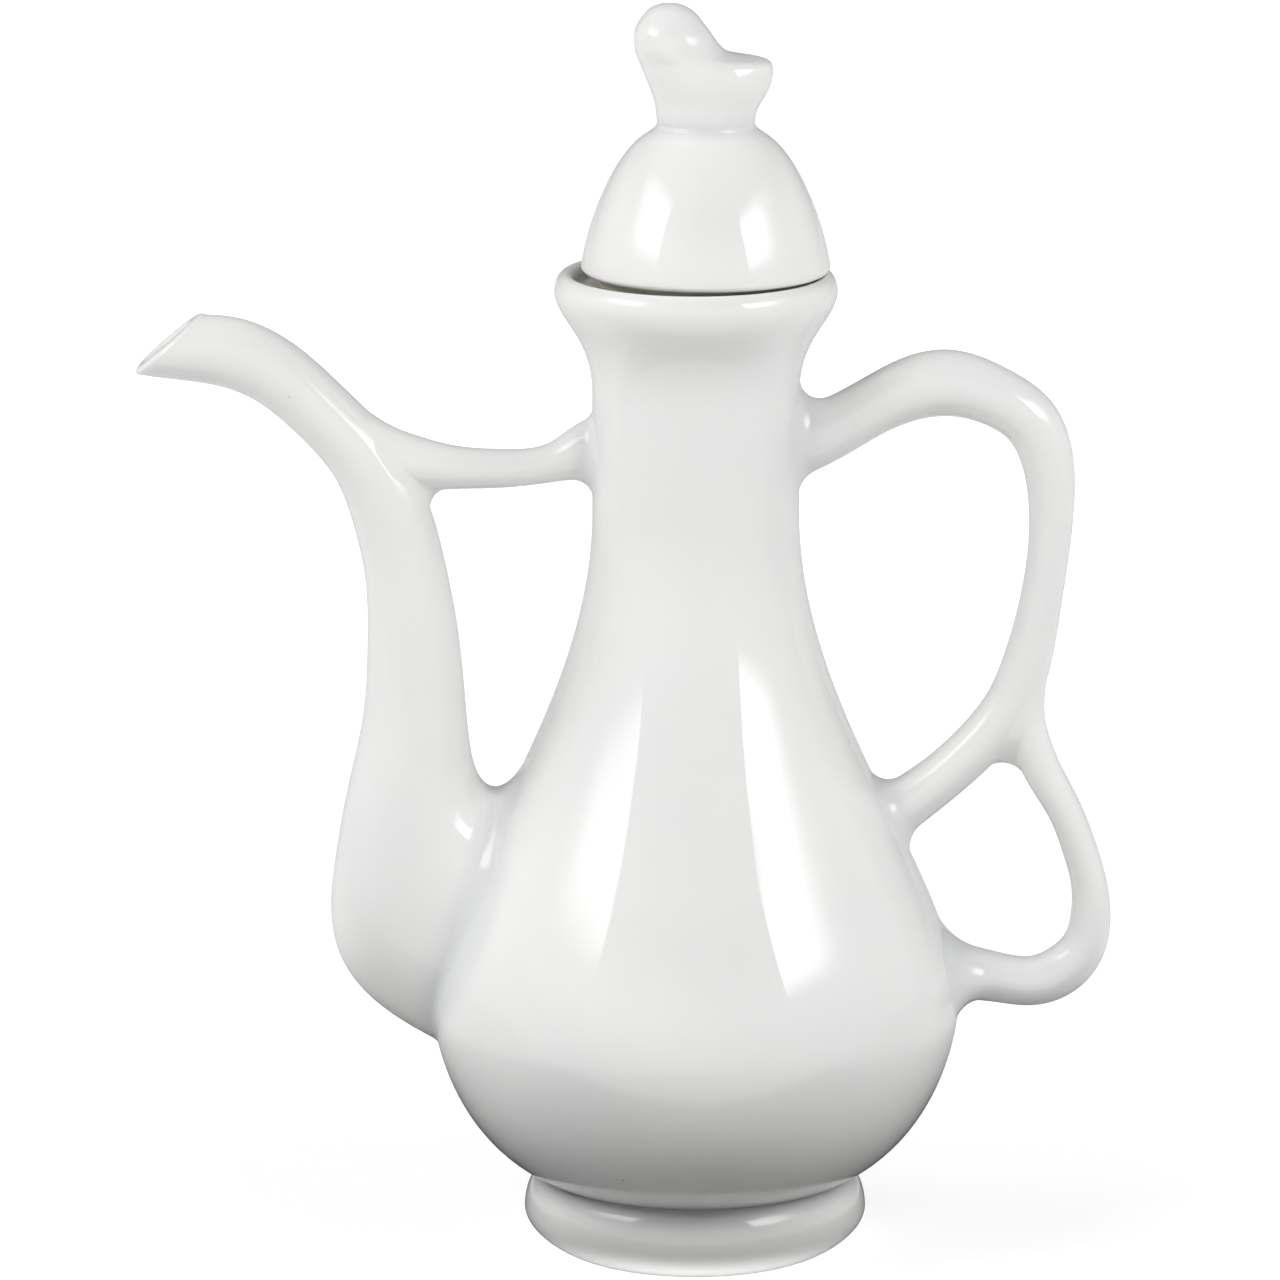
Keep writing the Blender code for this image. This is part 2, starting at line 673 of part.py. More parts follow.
def main():
    for obj in list(bpy.data.objects):
        bpy.data.objects.remove(obj)
    jug = bpy.data.collections.new("wine_jug")
    cutters = bpy.data.collections.new("wine_jug_cutters")
    for collection in (jug, cutters):
        bpy.context.scene.collection.children.link(collection)

    body_host = Turned(body_outside())
    spout_limb = limb_from(SPOUT_STATIONS, -1)
    bore_limb = limb_from(SPOUT_STATIONS, -1, SPOUT_WALL)
    bow_limb = limb_from(BOW_STATIONS, 1)
    loop_limb = limb_from(LOOP_STATIONS, 1)
    strut_limb = limb_from(STRUT_STATIONS, -1)

    body, cutter = make_body(jug, cutters, body_host, spout_limb)
    pot = [
        body,
        cutter,
        make_foot(jug, body_host),
        make_spout(jug, body_host, spout_limb, bore_limb),
        make_limb("spout_strut", strut_limb, spout_limb, body_host, STRUT_FILLETS, 7, jug),
        make_limb("handle_bow", bow_limb, body_host, body_host, BOW_FILLETS, 30, jug),
        make_limb("handle_finger_loop", loop_limb, bow_limb, body_host, LOOP_FILLETS, 20, jug),
    ]
    lid = [make_dome(jug), make_collar(jug), make_finial(jug)]

    reach = [vertex.co.x for obj in pot if obj is not cutter for vertex in obj.data.vertices]
    frame = empty("jug_axis", (-(min(reach) + max(reach)) / 2, 0.0, 0.0), jug)
    lift = empty("lid_lift", (lid_shift(), 0.0, MOUTH_HEIGHT + JOINT_GAP), jug, frame)
    for obj in pot:
        obj.parent = frame
    for obj in lid:
        obj.parent = lift


main()
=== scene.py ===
"""Looks of a white porcelain wine jug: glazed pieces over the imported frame, in a plain studio."""

from __future__ import annotations

import logging
import math
from dataclasses import dataclass, field
from enum import Enum
from typing import Any, Sequence

import bmesh
import bpy
import numpy as np
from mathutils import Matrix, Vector

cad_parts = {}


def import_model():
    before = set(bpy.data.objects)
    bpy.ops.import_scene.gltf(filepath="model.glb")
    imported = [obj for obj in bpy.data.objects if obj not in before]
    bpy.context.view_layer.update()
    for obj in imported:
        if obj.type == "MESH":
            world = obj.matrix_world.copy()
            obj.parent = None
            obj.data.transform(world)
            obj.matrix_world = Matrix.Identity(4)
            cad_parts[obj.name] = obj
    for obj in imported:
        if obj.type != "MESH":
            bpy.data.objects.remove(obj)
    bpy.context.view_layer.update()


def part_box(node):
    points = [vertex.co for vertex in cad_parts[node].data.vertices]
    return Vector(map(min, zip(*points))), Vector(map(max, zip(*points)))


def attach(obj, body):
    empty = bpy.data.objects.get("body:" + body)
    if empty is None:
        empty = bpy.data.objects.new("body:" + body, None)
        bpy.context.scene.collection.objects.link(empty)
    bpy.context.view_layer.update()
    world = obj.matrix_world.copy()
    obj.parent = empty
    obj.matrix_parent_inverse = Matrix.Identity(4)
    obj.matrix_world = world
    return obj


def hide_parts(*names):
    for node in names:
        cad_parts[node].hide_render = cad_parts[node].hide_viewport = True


LOG = logging.getLogger("wine_jug")

Outline = list[tuple[float, float]]
Row = tuple[float, ...]
Array = np.ndarray
Piece = bpy.types.Object
Socket = bpy.types.NodeSocket
Handles = tuple[tuple[float, float], tuple[float, float]]

# Slopes are measured over this small step
NUDGE = 0.00001
# The edge of a luted piece lies this far under the glaze of the piece that it joins
SINK = 0.00012
# The hidden underside of a root lies deeper
DEEP = 3 * SINK
# Points closer than this are one point
WELD = 0.0000005
# How often a search is repeated: to settle on a surface, and to halve a span
SETTLING = 3
HALVINGS = 40
# A limb is measured from this many marks along it
LIMB_MARKS = 160
# The most glaze that pools in a hollow, and how far from a host its pool is full
POOLED = 0.8
POOL_START = 0.0005
# A point this close to a face lies on it, and one this deep in a wall is inside the pot
TOUCH = 0.0002
SKIN = 0.0005
FULL_TURN = 2 * math.pi
# A turned piece has this many sides, and its outline starts from a plane this wide
TURN = 192
SEED = 0.001
# The handles of a straight line
STRAIGHT = ((0.0, 0.0), (1.0, 1.0))
UP = (0.0, 0.0, 1.0)
WHITE = (1.0, 1.0, 1.0, 1.0)
BLACK = (0.0, 0.0, 0.0, 1.0)


class Body(Enum):
    """The two loose things that a fired jug is."""

    JUG = "jug"
    LID = "lid"


class Mark(Enum):
    """What is painted on a piece's points for its finish to read."""

    POOL = "glaze_pool"
    BARE = "bare_clay"


class SmoothLine:
    """A smooth line through rows of numbers, spaced by the run of their first two columns."""

    def __init__(self, rows: Sequence[Row]) -> None:
        """Fit the line.

        Args:
            rows: The rows that the line passes through.
        """
        self.rows = np.array(rows, float)
        steps = np.hypot(*np.diff(self.rows[:, :2], axis=0).T)
        self.knots = np.concatenate([[0.0], np.cumsum(steps)])
        self.length = float(self.knots[-1])
        count = len(self.knots)
        system = np.eye(count)
        right = np.zeros_like(self.rows)
        for i in range(1, count - 1):
            before = self.knots[i] - self.knots[i - 1]
            after = self.knots[i + 1] - self.knots[i]
            system[i, i - 1 : i + 2] = before, 2 * (before + after), after
            rise = (self.rows[i + 1] - self.rows[i]) / after
            right[i] = 6 * (rise - (self.rows[i] - self.rows[i - 1]) / before)
        self.bends = np.linalg.solve(system, right)

    def at(self, s: float) -> tuple[Array, Array]:
        """Read the line.

        Args:
            s: A distance along the line.

        Returns:
            The row there and its rate of change.
        """
        i = int(np.clip(np.searchsorted(self.knots, s) - 1, 0, len(self.knots) - 2))
        width = self.knots[i + 1] - self.knots[i]
        a = (self.knots[i + 1] - s) / width
        b = 1 - a
        low, high = self.rows[i], self.rows[i + 1]
        bend_low, bend_high = self.bends[i], self.bends[i + 1]
        sag = (a**3 - a) * bend_low + (b**3 - b) * bend_high
        tilt = (3 * b * b - 1) * bend_high - (3 * a * a - 1) * bend_low
        return a * low + b * high + sag * width**2 / 6, (high - low) / width + tilt * width / 6


class Surface:
    """A surface that the root of another piece can spread onto."""

    def distance(self, point: Array) -> float:
        """How far the point lies outside the surface."""
        raise NotImplementedError

    def reach(self, points: Array) -> Array:
        """About how far each row of points lies from the surface, for painting."""
        raise NotImplementedError

    def normal(self, point: Array) -> Array:
        """Find which way leads straight out.

        Args:
            point: A point near the surface.

        Returns:
            The direction straight away from the surface there.
        """
        steps = np.eye(3) * NUDGE
        slope = [self.distance(point + step) - self.distance(point - step) for step in steps]
        return np.array(slope) / np.linalg.norm(slope)

    def settle(self, point: Array, gap: float) -> Array:
        """Move a point straight to or from the surface.

        Args:
            point: A point near the surface.
            gap: How far outside the surface it should lie.

        Returns:
            The moved point.
        """
        for _ in range(SETTLING):
            point = point - self.normal(point) * (self.distance(point) - gap)
        return point


class TurnedSurface(Surface):
    """The outside of a turned piece, from its outline of (radius, height) points run downwards."""

    def __init__(self, outline: Outline) -> None:
        """Keep the outline as short runs.

        Args:
            outline: The points from the top down the outside.
        """
        self.starts = np.array(outline[:-1])
        self.runs = np.diff(np.array(outline), axis=0)

    def distance(self, point: Array) -> float:
        """Measure to the nearest run.

        Args:
            point: A point.

        Returns:
            How far it lies outside the turned piece.
        """
        spot = np.array([math.hypot(point[0], point[1]), point[2]])
        away = spot - self.starts
        along = np.clip((away * self.runs).sum(1) / (self.runs**2).sum(1), 0, 1)
        away = away - self.runs * along[:, None]
        reach = np.hypot(away[:, 0], away[:, 1])
        i = int(np.argmin(reach))
        side = self.runs[i, 0] * away[i, 1] - self.runs[i, 1] * away[i, 0]
        return math.copysign(float(reach[i]), side)

    def reach(self, points: Array) -> Array:
        """Measure many points at once.

        Args:
            points: The points, one row each.

        Returns:
            About how far each lies from the turned piece.
        """
        spots = np.stack([np.hypot(points[:, 0], points[:, 1]), points[:, 2]], 1)
        nearest = np.full(len(points), np.inf)
        for start, run in zip(self.starts, self.runs):
            away = spots - start
            along = np.clip(away @ run / (run @ run), 0, 1)
            away = away - along[:, None] * run
            nearest = np.minimum(nearest, np.hypot(away[:, 0], away[:, 1]))
        return nearest


@dataclass(frozen=True)
class SlantCut(Surface):
    """A flat cut through a spot. Its distance grows along the way into the piece."""

    spot: Array
    into: Array

    def distance(self, point: Array) -> float:
        """How far the point lies on the kept side of the cut."""
        return float((point - self.spot) @ self.into)


class Limb(Surface):
    """A tube of oval section along a smooth line in the plane of the spout and handle."""

    def __init__(self, stations: Sequence[Row]) -> None:
        """Fit the tube.

        Args:
            stations: Rows of x, z, half width in the plane and half depth across it.
        """
        self.line = SmoothLine(stations)
        self.length = self.line.length
        self.marks = np.linspace(0, self.length, LIMB_MARKS)
        self.centres = np.array([self.line.at(s)[0][:2] for s in self.marks])

    def section(self, s: float) -> tuple[Array, Array, float, float]:
        """Read the tube's section.

        Args:
            s: A distance along the tube.

        Returns:
            The middle and the sideways direction in the plane, and the two half sizes.
        """
        value, rate = self.line.at(s)
        side = np.array([-rate[1], rate[0]]) / math.hypot(rate[0], rate[1])
        return value[:2], side, float(value[2]), float(value[3])

    def point(self, s: float, angle: float) -> Array:
        """Find a point of the tube.

        Args:
            s: A distance along the tube.
            angle: An angle round it.

        Returns:
            The point.
        """
        centre, side, width, depth = self.section(s)
        flat = centre + side * width * math.cos(angle)
        return np.array([flat[0], depth * math.sin(angle), flat[1]])

    def centre(self, s: float) -> Array:
        """The middle of the tube at a distance along it."""
        flat = self.line.at(s)[0]
        return np.array([flat[0], 0.0, flat[1]])

    def distance(self, point: Array) -> float:
        """Measure to the tube, near enough for its own thickness.

        Args:
            point: A point.

        Returns:
            How far it lies outside the tube.
        """
        flat = np.array([point[0], point[2]])
        s = float(self.marks[int(np.argmin(np.hypot(*(self.centres - flat).T)))])
        for _ in range(SETTLING):
            value, rate = self.line.at(s)
            step = (flat - value[:2]) @ rate[:2] / (rate[:2] @ rate[:2])
            s = float(np.clip(s + step, 0, self.length))
        centre, side, width, depth = self.section(s)
        across = (flat - centre) @ side
        ratio = math.hypot(across / width, point[1] / depth)
        if ratio < NUDGE:
            return -min(width, depth)
        return (ratio - 1) * ratio / math.hypot(across / width**2, point[1] / depth**2)

    def reach(self, points: Array) -> Array:
        """Measure many points at once.

        Args:
            points: The points, one row each.

        Returns:
            About how far each lies from the tube.
        """
        nearest = np.full(len(points), np.inf)
        for s in self.marks:
            _, _, width, depth = self.section(s)
            away = np.linalg.norm(points - self.centre(s), axis=1)
            nearest = np.minimum(nearest, away - (width + depth) / 2)
        return np.maximum(nearest, 0.0)

    def crossing(self, angle: float | None, host: Surface, inside: float, outside: float) -> float:
        """Find where a line of the tube goes under a surface.

        Args:
            angle: The angle of the line, or None for the middle.
            host: The surface.
            inside: A distance along the tube that lies under the surface.
            outside: One that lies outside it.

        Returns:
            The distance along the tube.
        """
        for _ in range(HALVINGS):
            middle = (inside + outside) / 2
            spot = self.centre(middle) if angle is None else self.point(middle, angle)
            if host.distance(spot) < -SINK:
                inside = middle
            else:
                outside = middle
        return outside

    def rings(
        self, angles: Array, first: Array, last: Array, count: int, crowd: float = 1.0
    ) -> list[Array]:
        """Draw rings along the tube, each line running from its own start to its own end.

        Args:
            angles: The angles of the lines.
            first: Where each line starts.
            last: Where each line ends.
            count: How many steps there are.
            crowd: Over 1 brings the rings closer together towards the end.

        Returns:
            The rings.
        """
        shares = [1 - (1 - i / count) ** crowd for i in range(count + 1)]
        places = [first + (last - first) * share for share in shares]
        return [np.array([self.point(s, a) for s, a in zip(row, angles)]) for row in places]


@dataclass
class Root:
    """Where a limb spreads out onto its host through a hollow fillet.

    The fillet has one radius on the limb's first side and another on the side across from it.
    """

    host: Surface
    fillet: tuple[float, float]
    inside: float
    outside: float
    steps: int = 14
    first_power: int = 3
    most_blend: float = 3.6
    most_lead: float = 1.6
    seat_shares: Row = (0.85, 0.5)

    def radius(self, angle: float) -> float:
        """The fillet's radius at an angle round the limb."""
        near, far = self.fillet
        return far + (near - far) * (0.5 + 0.5 * math.cos(angle)) ** self.first_power

    def spread(self, limb: Limb, angles: Array) -> tuple[Array, list[Array]]:
        """Shape the fillet line by line.

        Args:
            limb: The limb that has this root.
            angles: The angles of its lines.

        Returns:
            Where each line leaves the tube, and the rings from there to the host.
        """
        forward = 1 if self.outside > self.inside else -1
        starts, lines = [], []
        for angle in angles:
            s = limb.crossing(angle, self.host, self.inside, self.outside)
            corner = limb.point(s, angle)
            normal = self.host.normal(corner)
            away = corner - limb.centre(s)
            away = away - normal * (away @ normal)
            away = away / np.linalg.norm(away)
            rise = (limb.point(s + forward * NUDGE, angle) - corner) / NUDGE
            speed = float(np.linalg.norm(rise))
            half = math.acos(float(np.clip(rise @ away / speed, -1, 1))) / 2
            reach = self.radius(angle) * min(1 / math.tan(half), self.most_blend)
            start = s + forward * reach / speed
            first = limb.point(start, angle)
            last = self.host.settle(corner + away * reach, -SINK)
            flat = self.host.normal(last)
            slope = limb.point(start - forward * NUDGE, angle) - first
            lead = ((last - first) @ flat) / (slope @ flat)
            bend = first + slope * float(np.clip(lead, 0, self.most_lead * reach / NUDGE))
            starts.append(start)
            lines.append(self.hollow(np.array([first, bend, last]), math.sin(half)))
        return np.array(starts), [np.array(ring) for ring in zip(*lines)]

    def hollow(self, corners: Array, pull: float) -> list[Array]:
        """Round a corner off.

        Args:
            corners: The start, the corner and the end.
            pull: How strongly the corner draws the line.

        Returns:
            Points after the start, along a conic.
        """
        line = []
        for i in range(self.steps):
            t = (i + 1) / self.steps
            weights = np.array([(1 - t) ** 2, 2 * t * (1 - t) * pull, t * t])
            line.append(weights @ corners / weights.sum())
        return line

    def seat(self, limb: Limb, edge: Array) -> list[Array]:
        """Close the underside of the root, buried in its host.

        Args:
            limb: The limb that has this root.
            edge: The outermost ring of the root.

        Returns:
            Rings that shrink to one point.
        """
        middle = limb.centre(limb.crossing(None, self.host, self.inside, self.outside))
        rings = []
        for share in self.seat_shares:
            spots = middle + (edge - middle) * share
            rings.append(np.array([self.host.settle(spot, -DEEP) for spot in spots]))
        return rings + [np.repeat([self.host.settle(middle, -DEEP)], len(edge), axis=0)]


def sweep(start: Row, end: Row, handles: Handles, count: int) -> Outline:
    """Draw a cubic curve.

    Args:
        start: Its first point.
        end: Its last point.
        handles: Where its two handles lie, as shares of the way across and up to the end.
        count: How many points it has after the first.

    Returns:
        Points along it, without the first.
    """
    first, span = np.array(start), np.subtract(end, start)
    corners = np.array([first, first + span * handles[0], first + span * handles[1], end])
    found = []
    for i in range(1, count + 1):
        t = i / count
        weights = np.array([(1 - t) ** 3, 3 * (1 - t) ** 2 * t, 3 * (1 - t) * t**2, t**3])
        found.append(tuple(weights @ corners))
    return found


def arc(centre: Row, radius: float, first: float, last: float, count: int) -> Outline:
    """Points along a circle, with both ends. Angles are in degrees from +X towards +Z."""
    turns = [math.radians(first + (last - first) * i / count) for i in range(count + 1)]
    return [(centre[0] + radius * math.cos(a), centre[1] + radius * math.sin(a)) for a in turns]


def inset(outline: Outline, distance: float) -> Outline:
    """Move an outline sideways into the material of a wall whose outside it runs down.

    Args:
        outline: The wall's outside, down to the axis.
        distance: How far it moves.

    Returns:
        The wall's inside.
    """
    points = np.array(outline)
    along = np.gradient(points, axis=0)
    along = along / np.hypot(along[:, 0], along[:, 1])[:, None]
    moved = points + distance * np.stack([along[:, 1], -along[:, 0]], 1)
    moved[-1, 0] = 0.0
    return [tuple(point) for point in moved]


def smooth_step(low: float, high: float, value: Array) -> Array:
    """A share that eases from 0 at low to 1 at high."""
    share = np.clip((value - low) / (high - low), 0, 1)
    return share * share * (3 - 2 * share)


def fade(near: float, far: float, distance: Array) -> Array:
    """A share that eases from 1 at the near distance to 0 at the far one."""
    return 1 - smooth_step(near, far, distance)


def round_angles(sides: int) -> Array:
    """Even angles round a section."""
    return np.linspace(0, FULL_TURN, sides, endpoint=False)


class Bench:
    """The modelling steps that the pieces go through, as they are done by hand."""

    @staticmethod
    def deselect() -> None:
        """Leave edit mode and select nothing."""
        if bpy.context.object and bpy.context.object.mode != "OBJECT":
            bpy.ops.object.mode_set(mode="OBJECT")
        bpy.ops.object.select_all(action="DESELECT")

    @staticmethod
    def edit_all() -> None:
        """Enter edit mode with everything selected."""
        bpy.ops.object.mode_set(mode="EDIT")
        bpy.ops.mesh.select_all(action="SELECT")

    @staticmethod
    def weld() -> None:
        """Merge what lies on one point, turn the faces outwards and leave edit mode, smooth."""
        bpy.ops.mesh.select_all(action="SELECT")
        bpy.ops.mesh.remove_doubles(threshold=WELD)
        bpy.ops.mesh.normals_make_consistent(inside=False)
        bpy.ops.object.mode_set(mode="OBJECT")
        bpy.ops.object.shade_smooth()

    @classmethod
    def turned(
        cls, name: str, outline: Outline, axis: float, loop: bool, steps: int = TURN
    ) -> Piece:
        """Turn an outline round an upright axis.

        Args:
            name: The piece's name.
            outline: Points of radius and height.
            axis: The axis's place along X.
            loop: Whether the outline joins up with its start.
            steps: How many steps the turn takes.

        Returns:
            The turned piece.
        """
        cls.deselect()
        bpy.ops.mesh.primitive_plane_add(size=SEED)
        obj = bpy.context.object
        obj.name = name
        cls.edit_all()
        bpy.ops.mesh.merge(type="CENTER")
        bpy.ops.transform.translate(value=(axis + outline[0][0], 0.0, outline[0][1]))
        for (r0, z0), (r1, z1) in zip(outline, outline[1:]):
            step = {"value": (r1 - r0, 0.0, z1 - z0)}
            bpy.ops.mesh.extrude_vertices_move(TRANSFORM_OT_translate=step)
        if loop:
            made = bmesh.from_edit_mesh(obj.data)
            for vert in made.verts:
                vert.select = len(vert.link_edges) == 1
            bmesh.update_edit_mesh(obj.data)
            bpy.ops.mesh.edge_face_add()
        bpy.ops.mesh.select_all(action="SELECT")
        bpy.ops.mesh.spin(steps=steps, angle=FULL_TURN, center=(axis, 0.0, 0.0), axis=UP)
        cls.weld()
        return obj

    @classmethod
    def lofted(cls, name: str, rings: Sequence[Array], axis: float) -> Piece:
        """Draw a grid over rings of points and weld its seams.

        Args:
            name: The piece's name.
            rings: The rings, each with as many points. A ring on one point closes an end.
            axis: The body axis's place along X, which the points are measured from.

        Returns:
            The lofted piece.
        """
        cls.deselect()
        points = np.array([np.vstack([ring, ring[:1]]) for ring in rings])
        points[:, :, 0] += axis
        rows, columns = points.shape[0] - 1, points.shape[1] - 1
        bpy.ops.mesh.primitive_grid_add(x_subdivisions=columns, y_subdivisions=rows, size=1.0)
        obj = bpy.context.object
        obj.name = name
        place = cls.places(obj)[:, :2] + 0.5
        column = np.rint(place[:, 0] * columns).astype(int)
        row = np.rint(place[:, 1] * rows).astype(int)
        obj.data.vertices.foreach_set("co", points[row, column].ravel())
        obj.data.update()
        cls.edit_all()
        cls.weld()
        return obj

    @staticmethod
    def places(obj: Piece) -> Array:
        """Read a mesh.

        Args:
            obj: The piece.

        Returns:
            Its points, one row each.
        """
        flat = np.zeros(len(obj.data.vertices) * 3)
        obj.data.vertices.foreach_get("co", flat)
        return flat.reshape(-1, 3)

    @staticmethod
    def paint(obj: Piece, mark: Mark, shares: Array) -> None:
        """Paint a share on each point of a mesh for its finish to read."""
        layer = obj.data.attributes.new(mark.value, "FLOAT", "POINT")
        layer.data.foreach_set("value", np.clip(shares, 0, 1))

    @classmethod
    def paint_root(cls, obj: Piece, axis: float, hosts: Sequence[Surface], reach: float) -> None:
        """Paint where glaze pools in the hollow of a root, by the distance to its hosts.

        Args:
            obj: The piece.
            axis: The body axis's place along X.
            hosts: What the piece is rooted on.
            reach: How far from a host the pool ends.
        """
        places = cls.places(obj) - np.array([axis, 0.0, 0.0])
        near = np.min([host.reach(places) for host in hosts], axis=0)
        cls.paint(obj, Mark.POOL, POOLED * fade(POOL_START, reach, near))


class Recipe:
    """The node tree of a material or a world, filled node by node."""

    def __init__(self, owner: bpy.types.Material | bpy.types.World) -> None:
        """Start from the owner's output and the shader that feeds it.

        Args:
            owner: What the tree belongs to.
        """
        owner.use_nodes = True
        self.tree = owner.node_tree
        ends = ("ShaderNodeOutputMaterial", "ShaderNodeOutputWorld")
        self.output = next(node for node in self.tree.nodes if node.bl_idname in ends)
        self.shader = self.output.inputs["Surface"].links[0].from_node

    def node(
        self, kind: str, settings: dict[str, Any] | None = None, **inputs: Any
    ) -> bpy.types.Node:
        """Add a node.

        Args:
            kind: The node's type.
            settings: Properties of the node.
            inputs: Values or outputs for its inputs, with underscores for spaces. An n and a
                number, such as n0, name an input by its place.

        Returns:
            The node.
        """
        made = self.tree.nodes.new(kind)
        for key, value in (settings or {}).items():
            setattr(made, key, value)
        self.feed(made, **inputs)
        return made

    def feed(self, node: bpy.types.Node, **inputs: Any) -> None:
        """Set inputs of a node, or link outputs to them.

        Args:
            node: The node.
            inputs: Values or outputs, named as for a new node.
        """
        for key, value in inputs.items():
            named = int(key[1:]) if key[1:].isdigit() else key.replace("_", " ")
            socket = node.inputs[named]
            if isinstance(value, Socket):
                self.tree.links.new(value, socket)
            else:
                socket.default_value = value

    def math(self, kind: str, first: Any, second: Any) -> Socket:
        """The output of a Math node of this kind."""
        return self.node("ShaderNodeMath", {"operation": kind}, n0=first, n1=second).outputs[0]

    def plus(self, first: Any, second: Any) -> Socket:
        """The two numbers added."""
        return self.math("ADD", first, second)

    def times(self, first: Any, second: Any) -> Socket:
        """The two numbers multiplied."""
        return self.math("MULTIPLY", first, second)

    def ramp(self, value: Socket, ends: Row, levels: Row = (0.0, 1.0)) -> Socket:
        """Ease from one level to another.

        Args:
            value: What the level follows.
            ends: The values where the easing starts and ends.
            levels: The levels there.

        Returns:
            The level.
        """
        made = self.node("ShaderNodeMapRange", {"interpolation_type": "SMOOTHSTEP"}, Value=value)
        self.feed(made, From_Min=ends[0], From_Max=ends[1], To_Min=levels[0], To_Max=levels[1])
        return made.outputs["Result"]

    def mix(self, share: Any, first: Any, second: Any, blend: str = "MIX") -> Socket:
        """A colour between two colours, or the first with the second blended over it."""
        settings = {"data_type": "RGBA", "blend_type": blend}
        return self.node("ShaderNodeMix", settings, n0=share, n6=first, n7=second).outputs[2]

    def noise(self, place: Socket, scale: float, detail: float) -> Socket:
        """The level of a noise."""
        made = self.node("ShaderNodeTexNoise", Vector=place, Scale=scale, Detail=detail)
        return made.outputs["Fac"]

    def painted(self, mark: Mark) -> Socket:
        """The share that is painted on the piece."""
        return self.node("ShaderNodeAttribute", {"attribute_name": mark.value}).outputs["Fac"]

    def glow(self, strength: Socket) -> Socket:
        """White light of this strength."""
        return self.node("ShaderNodeEmission", Color=WHITE, Strength=strength).outputs[0]


@dataclass(frozen=True)
class Glaze:
    """Clear gloss over white clay, with the faint unevenness of a dipped and fired coat.

    Each noise is given by its scale and its detail.
    """

    name: str
    colour: Row = (0.83, 0.83, 0.825, 1.0)
    thin: Row = (0.86, 0.857, 0.845, 1.0)
    pooled: Row = (0.70, 0.715, 0.72, 1.0)
    pool_share: float = 0.75
    clouds: Row = (26.0, 3.0)
    cloud_ends: Row = (0.35, 0.7)
    speck: Row = (0.36, 0.33, 0.29, 1.0)
    speck_share: float = 0.7
    cells: float = 240.0
    speck_ends: Row = (0.085, 0.04)
    rare_ends: Row = (0.975, 0.99)
    clay: Row = (0.74, 0.71, 0.65, 1.0)
    dark_clay: Row = (0.6364, 0.6106, 0.559, 1.0)
    clay_roughness: float = 0.62
    grain: Row = (1500.0, 4.0)
    ragged: Row = (420.0, 2.0)
    ragged_share: float = 0.8
    wiped_ends: Row = (0.45, 0.55)
    roughness: Row = (0.024, 0.0408)
    gloss_ends: Row = (0.3, 0.7)
    ripples: Row = (34.0, 1.5)
    peel: Row = (520.0, 1.0)
    peel_share: float = 0.006
    grain_share: float = 0.05
    depth: float = 0.00022
    index: float = 1.52

    def material(self) -> bpy.types.Material:
        """Mix the finish.

        Returns:
            A material with clouded colour, specks, pooled joints, bare clay and a rippled gloss.
        """
        material = bpy.data.materials.new(self.name)
        recipe = Recipe(material)
        place = recipe.node("ShaderNodeTexCoord").outputs["Object"]
        cloud = recipe.noise(place, *self.clouds)
        grain = recipe.noise(place, *self.grain)
        wiped = self.wiped(recipe, place)
        clay = recipe.mix(grain, self.clay, self.dark_clay)
        colour = recipe.mix(wiped, self.coat(recipe, place, cloud), clay)

        low, high = self.gloss_ends
        gloss = recipe.node("ShaderNodeMapRange", Value=cloud, From_Min=low, From_Max=high)
        recipe.feed(gloss, To_Min=self.roughness[0], To_Max=self.roughness[1])
        rough = recipe.node("ShaderNodeMix", {"data_type": "FLOAT"}, n0=wiped)
        recipe.feed(rough, n2=gloss.outputs["Result"], n3=self.clay_roughness)

        fine = recipe.times(recipe.noise(place, *self.peel), self.peel_share)
        rise = recipe.plus(recipe.noise(place, *self.ripples), fine)
        rise = recipe.plus(rise, recipe.times(recipe.times(grain, wiped), self.grain_share))
        bump = recipe.node("ShaderNodeBump", Strength=1.0, Distance=self.depth, Height=rise)
        recipe.feed(
            recipe.shader,
            Base_Color=colour,
            Roughness=rough.outputs[0],
            Normal=bump.outputs["Normal"],
            IOR=self.index,
        )
        return material

    def coat(self, recipe: Recipe, place: Socket, cloud: Socket) -> Socket:
        """Colour the glaze.

        Args:
            recipe: The tree that it goes in.
            place: The place on the piece.
            cloud: The level that its thickness follows.

        Returns:
            The clouded colour, with pools and specks.
        """
        coat = recipe.mix(recipe.ramp(cloud, self.cloud_ends), self.colour, self.thin)
        pool = recipe.times(recipe.painted(Mark.POOL), self.pool_share)
        coat = recipe.mix(pool, coat, self.pooled)
        cells = recipe.node("ShaderNodeTexVoronoi", Vector=place, Scale=self.cells).outputs
        spot = recipe.ramp(cells["Distance"], self.speck_ends)
        drawn = recipe.node("ShaderNodeSeparateColor", Color=cells["Color"]).outputs[0]
        specks = recipe.times(spot, recipe.ramp(drawn, self.rare_ends))
        return recipe.mix(recipe.times(specks, self.speck_share), coat, self.speck)

    def wiped(self, recipe: Recipe, place: Socket) -> Socket:
        """Find where the glaze was wiped off.

        Args:
            recipe: The tree that it goes in.
            place: The place on the piece.

        Returns:
            The share of bare clay, with a ragged edge.
        """
        bare = recipe.painted(Mark.BARE)
        ragged = recipe.math("SUBTRACT", recipe.noise(place, *self.ragged), 0.5)
        shift = recipe.times(recipe.times(ragged, self.ragged_share), bare)
        return recipe.ramp(recipe.plus(bare, shift), self.wiped_ends)


